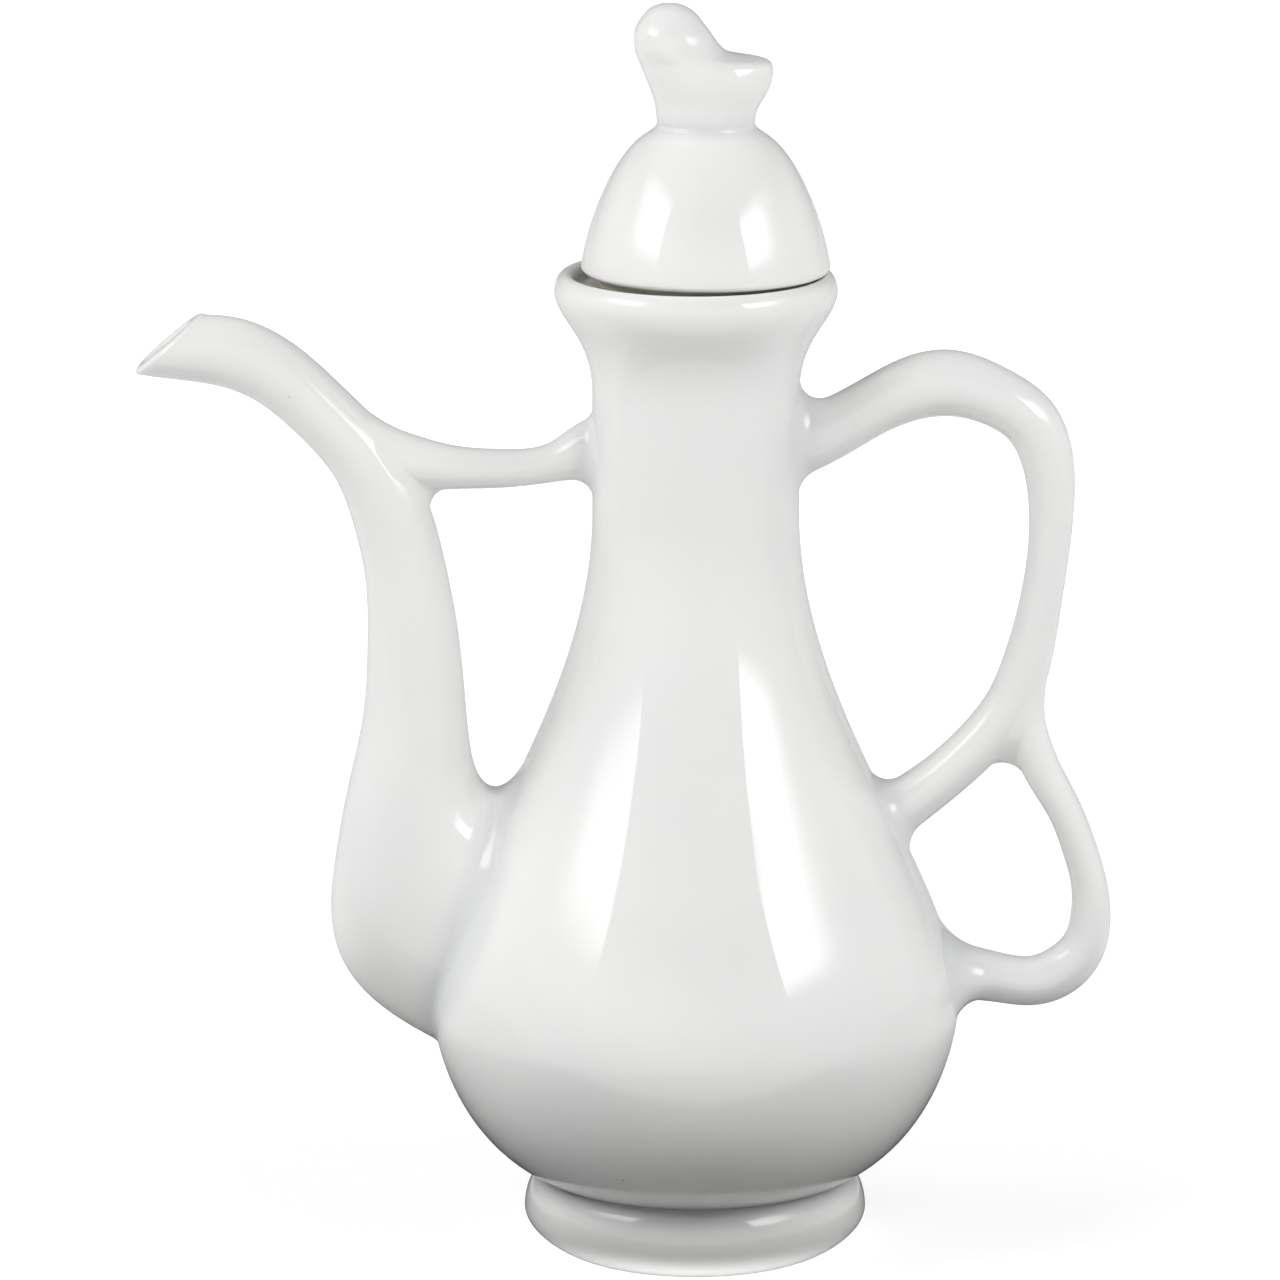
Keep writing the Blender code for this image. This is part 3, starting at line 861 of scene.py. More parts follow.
@dataclass(frozen=True)
class PaleFloor:
    """A pale table top that the camera sees as white, with the jug's soft shadow on it.

    It throws light back as a white sheet does, but little of it close round the jug, where its
    near-black tone is painted shadow, apart from a bright rim under the foot. The sheet and that
    rim also glow for the light that they throw back, as painted light. The glaze mirrors the sheet
    in front of the jug as white, up to its straight edge; close round the jug the mirrored floor is
    dark, as painted shadow in the reflection.
    """

    axis: float
    name: str = "pale_floor"
    seen: Row = (0.35, 0.35, 0.35, 1.0)
    sheet: Row = (0.80, 0.80, 0.80, 1.0)
    # Near-black tone round the jug for the light thrown back: painted shadow
    painted_shadow: Row = (0.06, 0.06, 0.06, 1.0)
    contact: Row = (0.80, 0.80, 0.80, 1.0)
    fleck: Row = (0.97, 0.97, 0.97, 1.0)
    grain: Row = (900.0, 2.0)
    roughness: float = 0.9
    gloss: float = 0.1
    sheet_edge: Row = (-0.092, -0.098)
    sheet_ends: Row = (0.072, 0.120)
    # Glow of the sheet for the light thrown back: painted light
    painted_sheet_light: float = 0.27
    contact_ends: Row = (0.041, 0.031)
    # Bright glow of the rim under the foot for the light thrown back: painted light
    painted_foot_light: float = 0.80
    glow: float = 0.78
    far_ends: Row = (0.15, 0.7)
    far_glow: float = 0.26
    round_ends: Row = (0.080, 0.200)
    round_glow: float = 0.60

    def material(self) -> bpy.types.Material:
        """Mix the finish.

        Returns:
            A matt material that glows for the camera and for reflections, and for the light that it
            throws back, as painted light.
        """
        material = bpy.data.materials.new(self.name)
        recipe = Recipe(material)
        place = recipe.node("ShaderNodeTexCoord").outputs["Object"]
        middle = (self.axis, 0.0, 0.0)
        away = recipe.node("ShaderNodeVectorMath", {"operation": "DISTANCE"}, n0=place, n1=middle)
        away = away.outputs["Value"]
        depth = recipe.node("ShaderNodeSeparateXYZ", Vector=place).outputs["Y"]
        rays = recipe.node("ShaderNodeLightPath").outputs
        close = recipe.ramp(away, self.contact_ends)
        wide = recipe.ramp(away, self.sheet_ends)

        # Round the jug the floor throws back almost no light: painted shadow
        bounce = recipe.mix(close, self.painted_shadow, self.contact)
        bounce = recipe.mix(wide, bounce, self.sheet)
        tone = recipe.mix(rays["Is Camera Ray"], bounce, self.seen)
        fleck = recipe.mix(recipe.noise(place, *self.grain), WHITE, self.fleck)
        tone = recipe.mix(1.0, tone, fleck, "MULTIPLY")
        tone = recipe.mix(rays["Is Glossy Ray"], tone, BLACK)
        recipe.feed(recipe.shader, Base_Color=tone, Roughness=self.roughness)
        recipe.feed(recipe.shader, Specular_IOR_Level=self.gloss)

        shown = recipe.times(recipe.ramp(away, self.far_ends), self.far_glow)
        shown = recipe.times(recipe.plus(shown, self.glow), rays["Is Camera Ray"])
        sides = recipe.times(recipe.ramp(away, self.round_ends), self.round_glow)
        # Close round the jug the mirrored floor stays dark: painted shadow in the reflection
        mirrored = recipe.math("MAXIMUM", recipe.ramp(depth, self.sheet_edge), sides)
        mirrored = recipe.times(mirrored, rays["Is Glossy Ray"])
        # The floor glows for the light that it throws back, most under the foot: painted light
        painted_light = recipe.times(close, self.painted_foot_light)
        painted_light = recipe.plus(painted_light, recipe.times(wide, self.painted_sheet_light))
        painted_light = recipe.times(painted_light, rays["Is Diffuse Ray"])
        glow = recipe.glow(recipe.plus(recipe.plus(shown, mirrored), painted_light))
        both = recipe.node("ShaderNodeAddShader", n0=recipe.shader.outputs[0], n1=glow)
        recipe.feed(recipe.output, Surface=both.outputs[0])
        return material


@dataclass(frozen=True)
class SoftFront:
    """The white cloth front of a soft box, brightest at one side and faint along its edges."""

    name: str
    peak: float
    dim: float
    bright_at: float
    dim_at: float
    edge: float = 0.32

    def material(self) -> bpy.types.Material:
        """Mix the finish.

        Returns:
            A glowing material that is graded across and softened at its top and bottom.
        """
        material = bpy.data.materials.new(self.name)
        recipe = Recipe(material)
        place = recipe.node("ShaderNodeTexCoord").outputs["UV"]
        across = recipe.node("ShaderNodeSeparateXYZ", Vector=place).outputs
        share = recipe.ramp(across["X"], (self.dim_at, self.bright_at))
        for ends in ((0.0, self.edge), (1.0, 1.0 - self.edge)):
            share = recipe.times(share, recipe.ramp(across["Y"], ends))
        level = recipe.plus(recipe.times(share, self.peak - self.dim), self.dim)
        recipe.feed(recipe.output, Surface=recipe.glow(level))
        return material


@dataclass
class Pot:
    """The turned body: belly, neck, flared mouth, the lid's seat and the spout's port."""

    belly_radius: float
    mouth_height: float
    axis: float
    belly_height: float = 0.0470
    neck_radius: float = 0.0195
    neck_base_height: float = 0.1430
    neck_top_height: float = 0.1660
    mouth_radius: float = 0.0266
    lip_radius: float = 0.0020
    lip_fall: float = 0.0034
    lip_end: float = -10.0
    wall: float = 0.0034
    base_height: float = 0.0100
    base_radius: float = 0.0150
    seat_drop: float = 0.0006
    seat_rounding: float = 0.0010
    joint_radius: float = 0.0294
    joint_height: float = 0.0148
    port_radius: float = 0.0085
    port_sides: int = 64
    port_walls: float = 6.0
    flare_curve: Handles = ((0.110473, 0.266691), (1.0, 0.442373))
    shoulder_curve: Handles = ((0.0, 0.408), (1.0, 0.745))
    bowl_curve: Handles = ((0.0, 0.125), (0.157, 0.752))
    tuck_curve: Handles = ((0.500694, 0.697667), (0.722222, 1.0))
    joint_pool: float = 0.0030
    root_pool: Row = (0.0015, 0.0075)
    wiped_share: float = 1.1

    def lip(self) -> tuple[float, float]:
        """The middle of the lip's roll."""
        return self.mouth_radius - self.lip_radius, self.mouth_height - self.lip_radius

    def brow(self, first: float, last: float, count: int) -> Outline:
        """Draw the outside of the lip, which rounds over lower than its inside.

        Args:
            first: The angle that it starts at, in degrees.
            last: The angle that it ends at.
            count: How many points it has.

        Returns:
            Its outline.
        """
        stretch = self.lip_fall / self.lip_radius
        round_arc = arc((self.lip()[0], 0.0), self.lip_radius, first, last, count)
        return [(r, self.mouth_height - self.lip_fall + stretch * z) for r, z in round_arc]

    def outside(self) -> Outline:
        """Draw the outside.

        Returns:
            The outline from the underside of the lip down to the middle of the base.
        """
        lip_end = self.brow(self.lip_end, self.lip_end, 1)[0]
        neck_top = self.neck_radius, self.neck_top_height
        neck_base = self.neck_radius, self.neck_base_height
        belly = self.belly_radius, self.belly_height
        joint = self.joint_radius, self.joint_height
        outline = [lip_end]
        outline += sweep(lip_end, neck_top, self.flare_curve, 24)
        outline += sweep(neck_top, neck_base, STRAIGHT, 10)
        outline += sweep(neck_base, belly, self.shoulder_curve, 48)
        outline += sweep(belly, joint, self.bowl_curve, 28)
        outline += sweep(joint, (self.base_radius, self.base_height), self.tuck_curve, 8)
        return outline + [(0.0, self.base_height)]

    def build(self, spout: Limb, limbs: Sequence[Limb]) -> Piece:
        """Turn the body, cut the port and paint where glaze pools.

        Args:
            spout: The spout, for the port's place.
            limbs: Every limb that is rooted on the body.

        Returns:
            The body.
        """
        outside = self.outside()
        hollow = [spot for spot in inset(outside, self.wall) if spot[1] < self.neck_top_height]
        lip = self.lip()
        seat = lip[1] - self.seat_drop
        corner = self.neck_radius - self.wall + self.seat_rounding, seat - self.seat_rounding
        ledge = arc(corner, self.seat_rounding, 180, 90, 6)
        ledge += [(lip[0] - self.lip_radius, seat)]
        roll = arc(lip, self.lip_radius, 180, 90, 10) + self.brow(90, self.lip_end, 16)[1:-1]
        outline = hollow[::-1] + ledge + roll + outside
        obj = Bench.turned("body_glazed", outline, self.axis, False)
        self.cut_port(obj, spout)
        self.paint(obj, seat, limbs)
        return obj

    def paint(self, obj: Piece, seat: float, limbs: Sequence[Limb]) -> None:
        """Paint where glaze pools and where the seat is wiped bare.

        Args:
            obj: The body.
            seat: The seat's height.
            limbs: Every limb that is rooted on the body.
        """
        places = Bench.places(obj) - np.array([self.axis, 0.0, 0.0])
        radius = np.hypot(places[:, 0], places[:, 1])
        joint = np.hypot(radius - self.joint_radius, places[:, 2] - self.joint_height)
        near = np.min([limb.reach(places) for limb in limbs], axis=0)
        near[radius < self.neck_radius - SKIN] = np.inf
        pool = POOLED * fade(*self.root_pool, near)
        Bench.paint(obj, Mark.POOL, np.maximum(fade(0.0, self.joint_pool, joint), pool))
        on_seat = np.abs(places[:, 2] - seat) < TOUCH
        inner = radius < self.lip()[0] - self.wiped_share * self.lip_radius
        Bench.paint(obj, Mark.BARE, (on_seat & inner).astype(float))

    def cut_port(self, obj: Piece, spout: Limb) -> None:
        """Cut the round port through the wall behind the spout's root.

        Args:
            obj: The body.
            spout: The spout, for the port's place.
        """
        host = TurnedSurface(self.outside())
        entry = spout.crossing(None, host, spout.length, spout.length / 2)
        centre, side, _, _ = spout.section(entry)
        Bench.deselect()
        bpy.ops.mesh.primitive_cylinder_add(
            vertices=self.port_sides,
            radius=self.port_radius,
            depth=self.port_walls * self.wall,
            location=(self.axis + centre[0], 0.0, centre[1]),
            rotation=(0.0, math.atan2(side[1], -side[0]) + math.pi / 2, 0.0),
        )
        cutter = bpy.context.object
        Bench.deselect()
        obj.select_set(True)
        bpy.context.view_layer.objects.active = obj
        port = obj.modifiers.new("port", "BOOLEAN")
        port.operation = "DIFFERENCE"
        port.object = cutter
        bpy.ops.object.modifier_apply(modifier=port.name)
        bpy.data.objects.remove(cutter)


@dataclass
class Foot:
    """The turned ring that the jug stands on."""

    axis: float
    radius: float = 0.0325
    bulge_height: float = 0.0078
    rest_radius: float = 0.0228
    rest_width: float = 0.0042
    swell_curve: Handles = ((0.7, 0.18), (1.0, 0.6))
    underside_curve: Handles = ((0.0, 0.47), (0.66, 1.0))
    bevel_share: float = 0.12
    recess_share: float = 0.96
    pool: float = 0.0028
    bare: float = 0.0007

    def build(self, pot: Pot) -> Piece:
        """Turn the ring under the body, with a bare rest face.

        Args:
            pot: The body that it is luted to.

        Returns:
            The foot ring.
        """
        host = TurnedSurface(pot.outside())
        top = self.under(host, pot.joint_radius, pot.joint_height)
        inner = self.rest_radius - self.rest_width
        bulge = self.radius, self.bulge_height
        bevel = self.bevel_share * self.rest_width
        outline = [top]
        outline += sweep(top, bulge, self.swell_curve, 20)
        outline += sweep(bulge, (self.rest_radius, 0.0), self.underside_curve, 20)
        outline += arc((inner + bevel, bevel), bevel, 270, 180, 6)
        for share in (0.0, 0.5):
            radius = self.recess_share * inner * (1 - share) + top[0] * share
            outline.append(self.under(host, radius, pot.joint_height))
        obj = Bench.turned("foot_turned", outline, self.axis, True)
        height = Bench.places(obj)[:, 2]
        Bench.paint(obj, Mark.POOL, fade(0.0, self.pool, pot.joint_height - height))
        Bench.paint(obj, Mark.BARE, fade(0.0, self.bare, height))
        return obj

    @staticmethod
    def under(host: Surface, radius: float, height: float) -> tuple[float, float]:
        """The point just under the glaze of the body that lies nearest to a radius and height."""
        spot = host.settle(np.array([radius, 0.0, height]), -SINK)
        return spot[0], spot[2]


@dataclass
class Spout:
    """The hollow S-shaped spout, with a wide root and a slanted tip."""

    axis: float
    belly_radius: float
    wall: float = 0.0024
    fillet: tuple[float, float] = (0.0104, 0.0028)
    tip_point: Row = (0.0496, 0.1753)
    tip_lean: float = math.radians(49.0)
    tip_share: float = 0.3
    free_share: float = 0.5
    rim_share: float = 0.42
    seat_shares: Row = (0.3, 0.7)
    pool: float = 0.0060
    sides: int = 96
    rings: int = 120
    crowd: float = 1.4
    bore_rings: int = 60
    rim_rings: int = 10
    stations: Sequence[Row] = (
        (0.0590, 0.1761, 0.0060, 0.0052),
        (0.0480, 0.1746, 0.0061, 0.0055),
        (0.0373, 0.1735, 0.0067, 0.0058),
        (0.0298, 0.1702, 0.0065, 0.0060),
        (0.0205, 0.1623, 0.0062, 0.0063),
        (0.0123, 0.1530, 0.0066, 0.0067),
        (0.0072, 0.1419, 0.0074, 0.0072),
        (0.0048, 0.1319, 0.0077, 0.0076),
        (0.0033, 0.1179, 0.0087, 0.0085),
        (0.0031, 0.1021, 0.0100, 0.0098),
        (0.0033, 0.0892, 0.0128, 0.0113),
        (0.0015, 0.0783, 0.0180, 0.0126),
        (-0.0025, 0.0700, 0.0240, 0.0134),
        (-0.0082, 0.0641, 0.0243, 0.0140),
        (-0.0171, 0.0586, 0.0235, 0.0144),
        (-0.0270, 0.0540, 0.0240, 0.0146),
    )

    def limb(self, shrink: float = 0.0) -> Limb:
        """The spout's outside, or its bore when its sizes shrink by the wall."""
        base = self.belly_radius
        return Limb([(-(base + x), z, w - shrink, d - shrink) for x, z, w, d in self.stations])

    def build(self, host: Surface) -> Piece:
        """Loft the outside, the rolled rim of the tip and the bore.

        Args:
            host: The body's outside.

        Returns:
            The spout.
        """
        outer, bore = self.limb(), self.limb(self.wall)
        angles = round_angles(self.sides)
        along = outer.length
        free, tip_end = self.free_share * along, self.tip_share * along
        into = np.array([math.cos(self.tip_lean), 0.0, -math.sin(self.tip_lean)])
        roll = self.rim_share * self.wall
        tip_x, tip_z = self.tip_point
        cut = SlantCut(np.array([-(self.belly_radius + tip_x), 0.0, tip_z]) + into * roll, into)
        tip = np.array([outer.crossing(a, cut, 0.0, tip_end) for a in angles])
        bore_tip = np.array([bore.crossing(a, cut, 0.0, tip_end) for a in angles])
        starts, root = Root(host, self.fillet, along, free).spread(outer, angles)
        bore_end = np.array([bore.crossing(a, host, along, free) for a in angles])
        tube = outer.rings(angles, tip, starts, self.rings, self.crowd)
        inside = bore.rings(angles, bore_end, bore_tip, self.bore_rings)
        middle = (tube[0] + inside[-1]) / 2
        across = (tube[0] - inside[-1]) / 2
        rim = [
            middle - across * math.cos(turn) - into * roll * math.sin(turn)
            for turn in np.linspace(0, math.pi, self.rim_rings)[1:-1]
        ]
        seat = []
        for share in self.seat_shares:
            spots = root[-1] + (inside[0] - root[-1]) * share
            seat.append(np.array([host.settle(spot, -DEEP) for spot in spots]))
        rings = tube + root + seat + inside + rim + tube[:1]
        obj = Bench.lofted("spout_glazed", rings, self.axis)
        Bench.paint_root(obj, self.axis, [host], self.pool)
        return obj


@dataclass
class Bar:
    """A solid limb that is rooted at both ends: the strut or one of the handle's loops."""

    name: str
    axis: float
    belly_radius: float
    side: int
    stations: Sequence[Row]
    first_fillet: tuple[float, float]
    last_fillet: tuple[float, float]
    rings: int = 140
    sides: int = 72
    free_share: float = 0.45
    pool: float = 0.0055

    def limb(self) -> Limb:
        """The bar's outside."""
        base = self.belly_radius
        return Limb([(self.side * (base + x), z, w, d) for x, z, w, d in self.stations])

    def build(self, first: Surface, last: Surface) -> Piece:
        """Loft the bar between its two hosts.

        Args:
            first: What the first end is rooted on.
            last: What the last end is rooted on.

        Returns:
            The bar.
        """
        limb = self.limb()
        angles = round_angles(self.sides)
        free = self.free_share * limb.length
        start = Root(first, self.first_fillet, 0.0, free)
        end = Root(last, self.last_fillet, limb.length, free)
        starts, start_root = start.spread(limb, angles)
        ends, end_root = end.spread(limb, angles)
        rings = start.seat(limb, start_root[-1])[::-1] + start_root[::-1]
        rings += limb.rings(angles, starts, ends, self.rings)
        rings += end_root + end.seat(limb, end_root[-1])
        obj = Bench.lofted(self.name, rings, self.axis)
        bodies = [host for host in (first, last) if isinstance(host, TurnedSurface)]
        Bench.paint_root(obj, self.axis, bodies, self.pool)
        return obj


@dataclass
class Lid:
    """The loose lid: a hollow dome, the collar that drops into the neck and the moulded knob."""

    axis: float
    base: float
    radius: float
    collar_radius: float
    flange_radius: float
    rest: float
    wall: float = 0.0030
    dome_height: float = 0.0284
    crown_radius: float = 0.0092
    crown_sweep: float = 0.0028
    collar_wall: float = 0.0026
    collar_depth: float = 0.0200
    collar_steps: int = 128
    flange_thickness: float = 0.0028
    crown_wall: float = 0.0045
    shoulder_share: float = 0.895
    edge_share: float = 0.35
    bevel_share: float = 0.25
    crown_curve: Handles = ((0.0, 0.409524), (0.36, 0.571429))
    skirt_curve: Handles = ((0.482737, 0.160834), (0.887105, 0.652659))
    vault_curve: Handles = ((0.0, 0.4), (0.38, 0.97))
    crown_pool: Row = (0.0004, 0.0036)
    glazed_ring: Row = (-0.004, -0.002, -0.001)
    knob_pool: float = 0.0030
    knob_sink: float = 0.0004
    knob_rows: Sequence[Row] = (
        (-0.0094, 0.0024, 0.0097, 0.0024, 0.0090),
        (-0.0099, 0.0047, 0.0109, 0.0045, 0.0090),
        (-0.0106, 0.0066, 0.0119, 0.0064, 0.0091),
        (-0.0114, 0.0086, 0.0125, 0.0085, 0.0090),
        (-0.0121, 0.0103, 0.0125, 0.0103, 0.0087),
        (-0.0127, 0.0118, 0.0113, 0.0117, 0.0083),
        (-0.0131, 0.0128, 0.0086, 0.0121, 0.0080),
        (-0.0133, 0.0138, 0.0057, 0.0126, 0.0077),
        (-0.0134, 0.0148, 0.0036, 0.0135, 0.0074),
        (-0.0134, 0.0159, 0.0020, 0.0152, 0.0070),
        (-0.0133, 0.0173, 0.0008, 0.0170, 0.0066),
        (-0.0127, 0.0186, -0.0003, 0.0184, 0.0060),
        (-0.0117, 0.0201, -0.0016, 0.0201, 0.0050),
        (-0.0104, 0.0214, -0.0032, 0.0214, 0.0036),
        (-0.0088, 0.0221, -0.0048, 0.0221, 0.0020),
    )
    knob_top: Row = (-0.0068, 0.0, 0.0224)

    def build_dome(self) -> Piece:
        """Turn the dome.

        Returns:
            The dome.
        """
        hollow = self.radius - self.wall
        edge = self.edge_share * self.wall
        crown, height = self.crown_radius, self.dome_height
        shoulder = crown + self.crown_sweep, self.shoulder_share * height
        spring = hollow, self.flange_thickness
        roof = 0.0, height - self.crown_wall
        outline = [(0.0, height), (crown, height)]
        outline += sweep((crown, height), shoulder, self.crown_curve, 12)
        outline += sweep(shoulder, (self.radius, edge), self.skirt_curve, 40)
        outline += arc((self.radius - edge, edge), edge, 0, -90, 8)[1:]
        outline += [(hollow, 0.0), spring]
        outline += sweep(spring, roof, self.vault_curve, 24)
        outline = [(r, self.base + z) for r, z in outline]
        obj = Bench.turned("lid_dome_glazed", outline, self.axis, False)
        places = Bench.places(obj)
        reach = np.hypot(places[:, 0] - self.axis, places[:, 1]) - crown
        near = np.hypot(reach, places[:, 2] - self.base - height)
        Bench.paint(obj, Mark.POOL, POOLED * fade(*self.crown_pool, near))
        Bench.paint(obj, Mark.BARE, (places[:, 2] < self.base + TOUCH).astype(float))
        return obj

    def build_collar(self) -> Piece:
        """Turn the collar and its flange.

        Returns:
            The collar.
        """
        inner = self.collar_radius - self.collar_wall
        bevel = self.bevel_share * self.collar_wall
        foot = bevel - self.collar_depth
        top, flange = self.flange_thickness, self.flange_radius
        outline = [(inner + bevel, top), (flange - bevel, top), (flange, top - bevel)]
        outline += arc((flange - bevel, self.rest + bevel), bevel, 0, -90, 5)
        outline += arc((self.collar_radius + bevel, self.rest - bevel), bevel, 90, 180, 5)
        outline += arc((self.collar_radius - bevel, foot), bevel, 0, -90, 5)
        outline += arc((inner + bevel, foot), bevel, -90, -180, 5)
        outline += [(inner, top - bevel)]
        outline = [(r, self.base + z) for r, z in outline]
        obj = Bench.turned("lid_collar_plug", outline, self.axis, True, self.collar_steps)
        height = Bench.places(obj)[:, 2] - self.base - self.rest
        low, full, high = self.glazed_ring
        Bench.paint(obj, Mark.BARE, 1 - smooth_step(low, full, height) * (height < high))
        return obj

    def build_knob(self, sides: int = 64, count: int = 96) -> Piece:
        """Loft the knob through slanting rings, from the crown up.

        Args:
            sides: The points of a ring.
            count: The steps between the rings.

        Returns:
            The knob.
        """
        foot, sink = self.crown_radius, self.knob_sink
        line = SmoothLine(((-foot, -sink, foot, -sink, foot), *self.knob_rows))
        angles = round_angles(sides)
        lift = self.base + self.dome_height
        rings = [np.repeat([(0.0, 0.0, lift - sink)], sides, axis=0)]
        for i in range(count + 1):
            left_x, left_z, right_x, right_z, depth = line.at(line.length * i / count)[0]
            middle = np.array([(left_x + right_x) / 2, 0.0, lift + (left_z + right_z) / 2])
            half = np.array([(right_x - left_x) / 2, 0.0, (right_z - left_z) / 2])
            across = np.array([0.0, depth, 0.0])
            rings.append(
                middle + np.outer(np.cos(angles), half) + np.outer(np.sin(angles), across)
            )
        top = np.array(self.knob_top) + np.array([0.0, 0.0, lift])
        rings.append(np.repeat([top], sides, axis=0))
        obj = Bench.lofted("lid_knob_glazed", rings, self.axis)
        height = Bench.places(obj)[:, 2] - lift
        Bench.paint(obj, Mark.POOL, POOLED * fade(0.0, self.knob_pool, height))
        return obj


# Rows of x from the belly's side, z, half width and half depth, and the fillets of the two ends
BOW_STATIONS = (
    (-0.0400, 0.1525, 0.0066, 0.0062),
    (-0.0240, 0.1592, 0.0057, 0.0058),
    (-0.0170, 0.1631, 0.0055, 0.0057),
    (-0.0029, 0.1677, 0.0063, 0.0057),
    (0.0059, 0.1653, 0.0057, 0.0056),
    (0.0130, 0.1603, 0.0054, 0.0054),
    (0.0162, 0.1528, 0.0049, 0.0051),
    (0.0170, 0.1441, 0.0043, 0.0048),
    (0.0151, 0.1255, 0.0040, 0.0046),
    (0.0129, 0.1151, 0.0045, 0.0045),
    (0.0090, 0.1050, 0.0048, 0.0045),
    (0.0040, 0.0986, 0.0047, 0.0046),
    (-0.0048, 0.0905, 0.0047, 0.0048),
    (-0.0131, 0.0844, 0.0052, 0.0051),
    (-0.0240, 0.0762, 0.0055, 0.0055),
)
BOW_FILLETS = (0.0047, 0.0052), (0.0056, 0.0042)

LOOP_STATIONS = (
    (0.0112, 0.1120, 0.0030, 0.0032),
    (0.0126, 0.1020, 0.0036, 0.0037),
    (0.0159, 0.0926, 0.0036, 0.0040),
    (0.0199, 0.0854, 0.0033, 0.0043),
    (0.0228, 0.0780, 0.0033, 0.0043),
    (0.0247, 0.0711, 0.0034, 0.0043),
    (0.0251, 0.0645, 0.0038, 0.0044),
    (0.0239, 0.0589, 0.0042, 0.0045),
    (0.0204, 0.0545, 0.0047, 0.0046),
    (0.0146, 0.0519, 0.0047, 0.0047),
    (0.0080, 0.0524, 0.0047, 0.0049),
    (0.0000, 0.0538, 0.0053, 0.0052),
    (-0.0120, 0.0555, 0.0056, 0.0056),
)
LOOP_FILLETS = (0.0220, 0.0034), (0.0034, 0.0100)

STRUT_STATIONS = (
    (0.0130, 0.1547, 0.0060, 0.0055),
    (0.0085, 0.1536, 0.0057, 0.0054),
    (0.0020, 0.1522, 0.0050, 0.0048),
    (-0.0060, 0.1514, 0.0040, 0.0040),
    (-0.0130, 0.1513, 0.0037, 0.0036),
    (-0.0200, 0.1518, 0.0035, 0.0036),
    (-0.0240, 0.1527, 0.0039, 0.0038),
    (-0.0280, 0.1541, 0.0051, 0.0043),
    (-0.0380, 0.1566, 0.0076, 0.0050),
)
STRUT_FILLETS = (0.0220, 0.0030), (0.0030, 0.0040)

# The lid's collar drops into the neck with play all round
COLLAR_RADIUS = 0.0140


@dataclass(frozen=True)
class Stand:
    """Where a lamp or a card stands, by its direction from the jug, and its size."""

    azimuth: float
    elevation: float
    distance: float
    width: float
    height: float

    def away(self) -> Vector:
        """The direction from the jug to the stand."""
        a, e = math.radians(self.azimuth), math.radians(self.elevation)
        return Vector((math.sin(a) * math.cos(e), -math.cos(a) * math.cos(e), math.sin(e)))


@dataclass(frozen=True)
class Lamp:
    """A wide soft lamp that lights the jug without a mirror image of its own."""

    name: str
    stand: Stand
    power: float

    def build(self, target: Vector) -> None:
        """Hang the lamp and turn it to the jug.

        Args:
            target: What it points at.
        """
        away = self.stand.away()
        Bench.deselect()
        bpy.ops.object.light_add(type="AREA", location=target + away * self.stand.distance)
        lamp = bpy.context.object
        lamp.name = self.name
        lamp.rotation_euler = away.to_track_quat("Z", "Y").to_euler()
        lamp.data.shape = "RECTANGLE"
        lamp.data.size = self.stand.width
        lamp.data.size_y = self.stand.height
        lamp.data.energy = self.power
        lamp.visible_camera = False
        lamp.visible_glossy = False


@dataclass(frozen=True)
class SoftBox:
    """The front of a soft box, as the glaze mirrors it."""

    front: SoftFront
    stand: Stand

    def build(self, target: Vector) -> None:
        """Stand the front up, facing the jug, where only reflections show it.

        Args:
            target: What it faces.
        """
        away = self.stand.away()
        turn = away.to_track_quat("Z", "Y").to_euler()
        Bench.deselect()
        spot = target + away * self.stand.distance
        bpy.ops.mesh.primitive_plane_add(size=1.0, location=spot, rotation=turn)
        card = bpy.context.object
        card.name = self.front.name
        card.scale = (self.stand.width, self.stand.height, 1.0)
        bpy.ops.object.transform_apply(location=True, rotation=True, scale=True)
        card.data.materials.append(self.front.material())
        card.visible_camera = False
        card.visible_diffuse = False
        card.visible_shadow = False


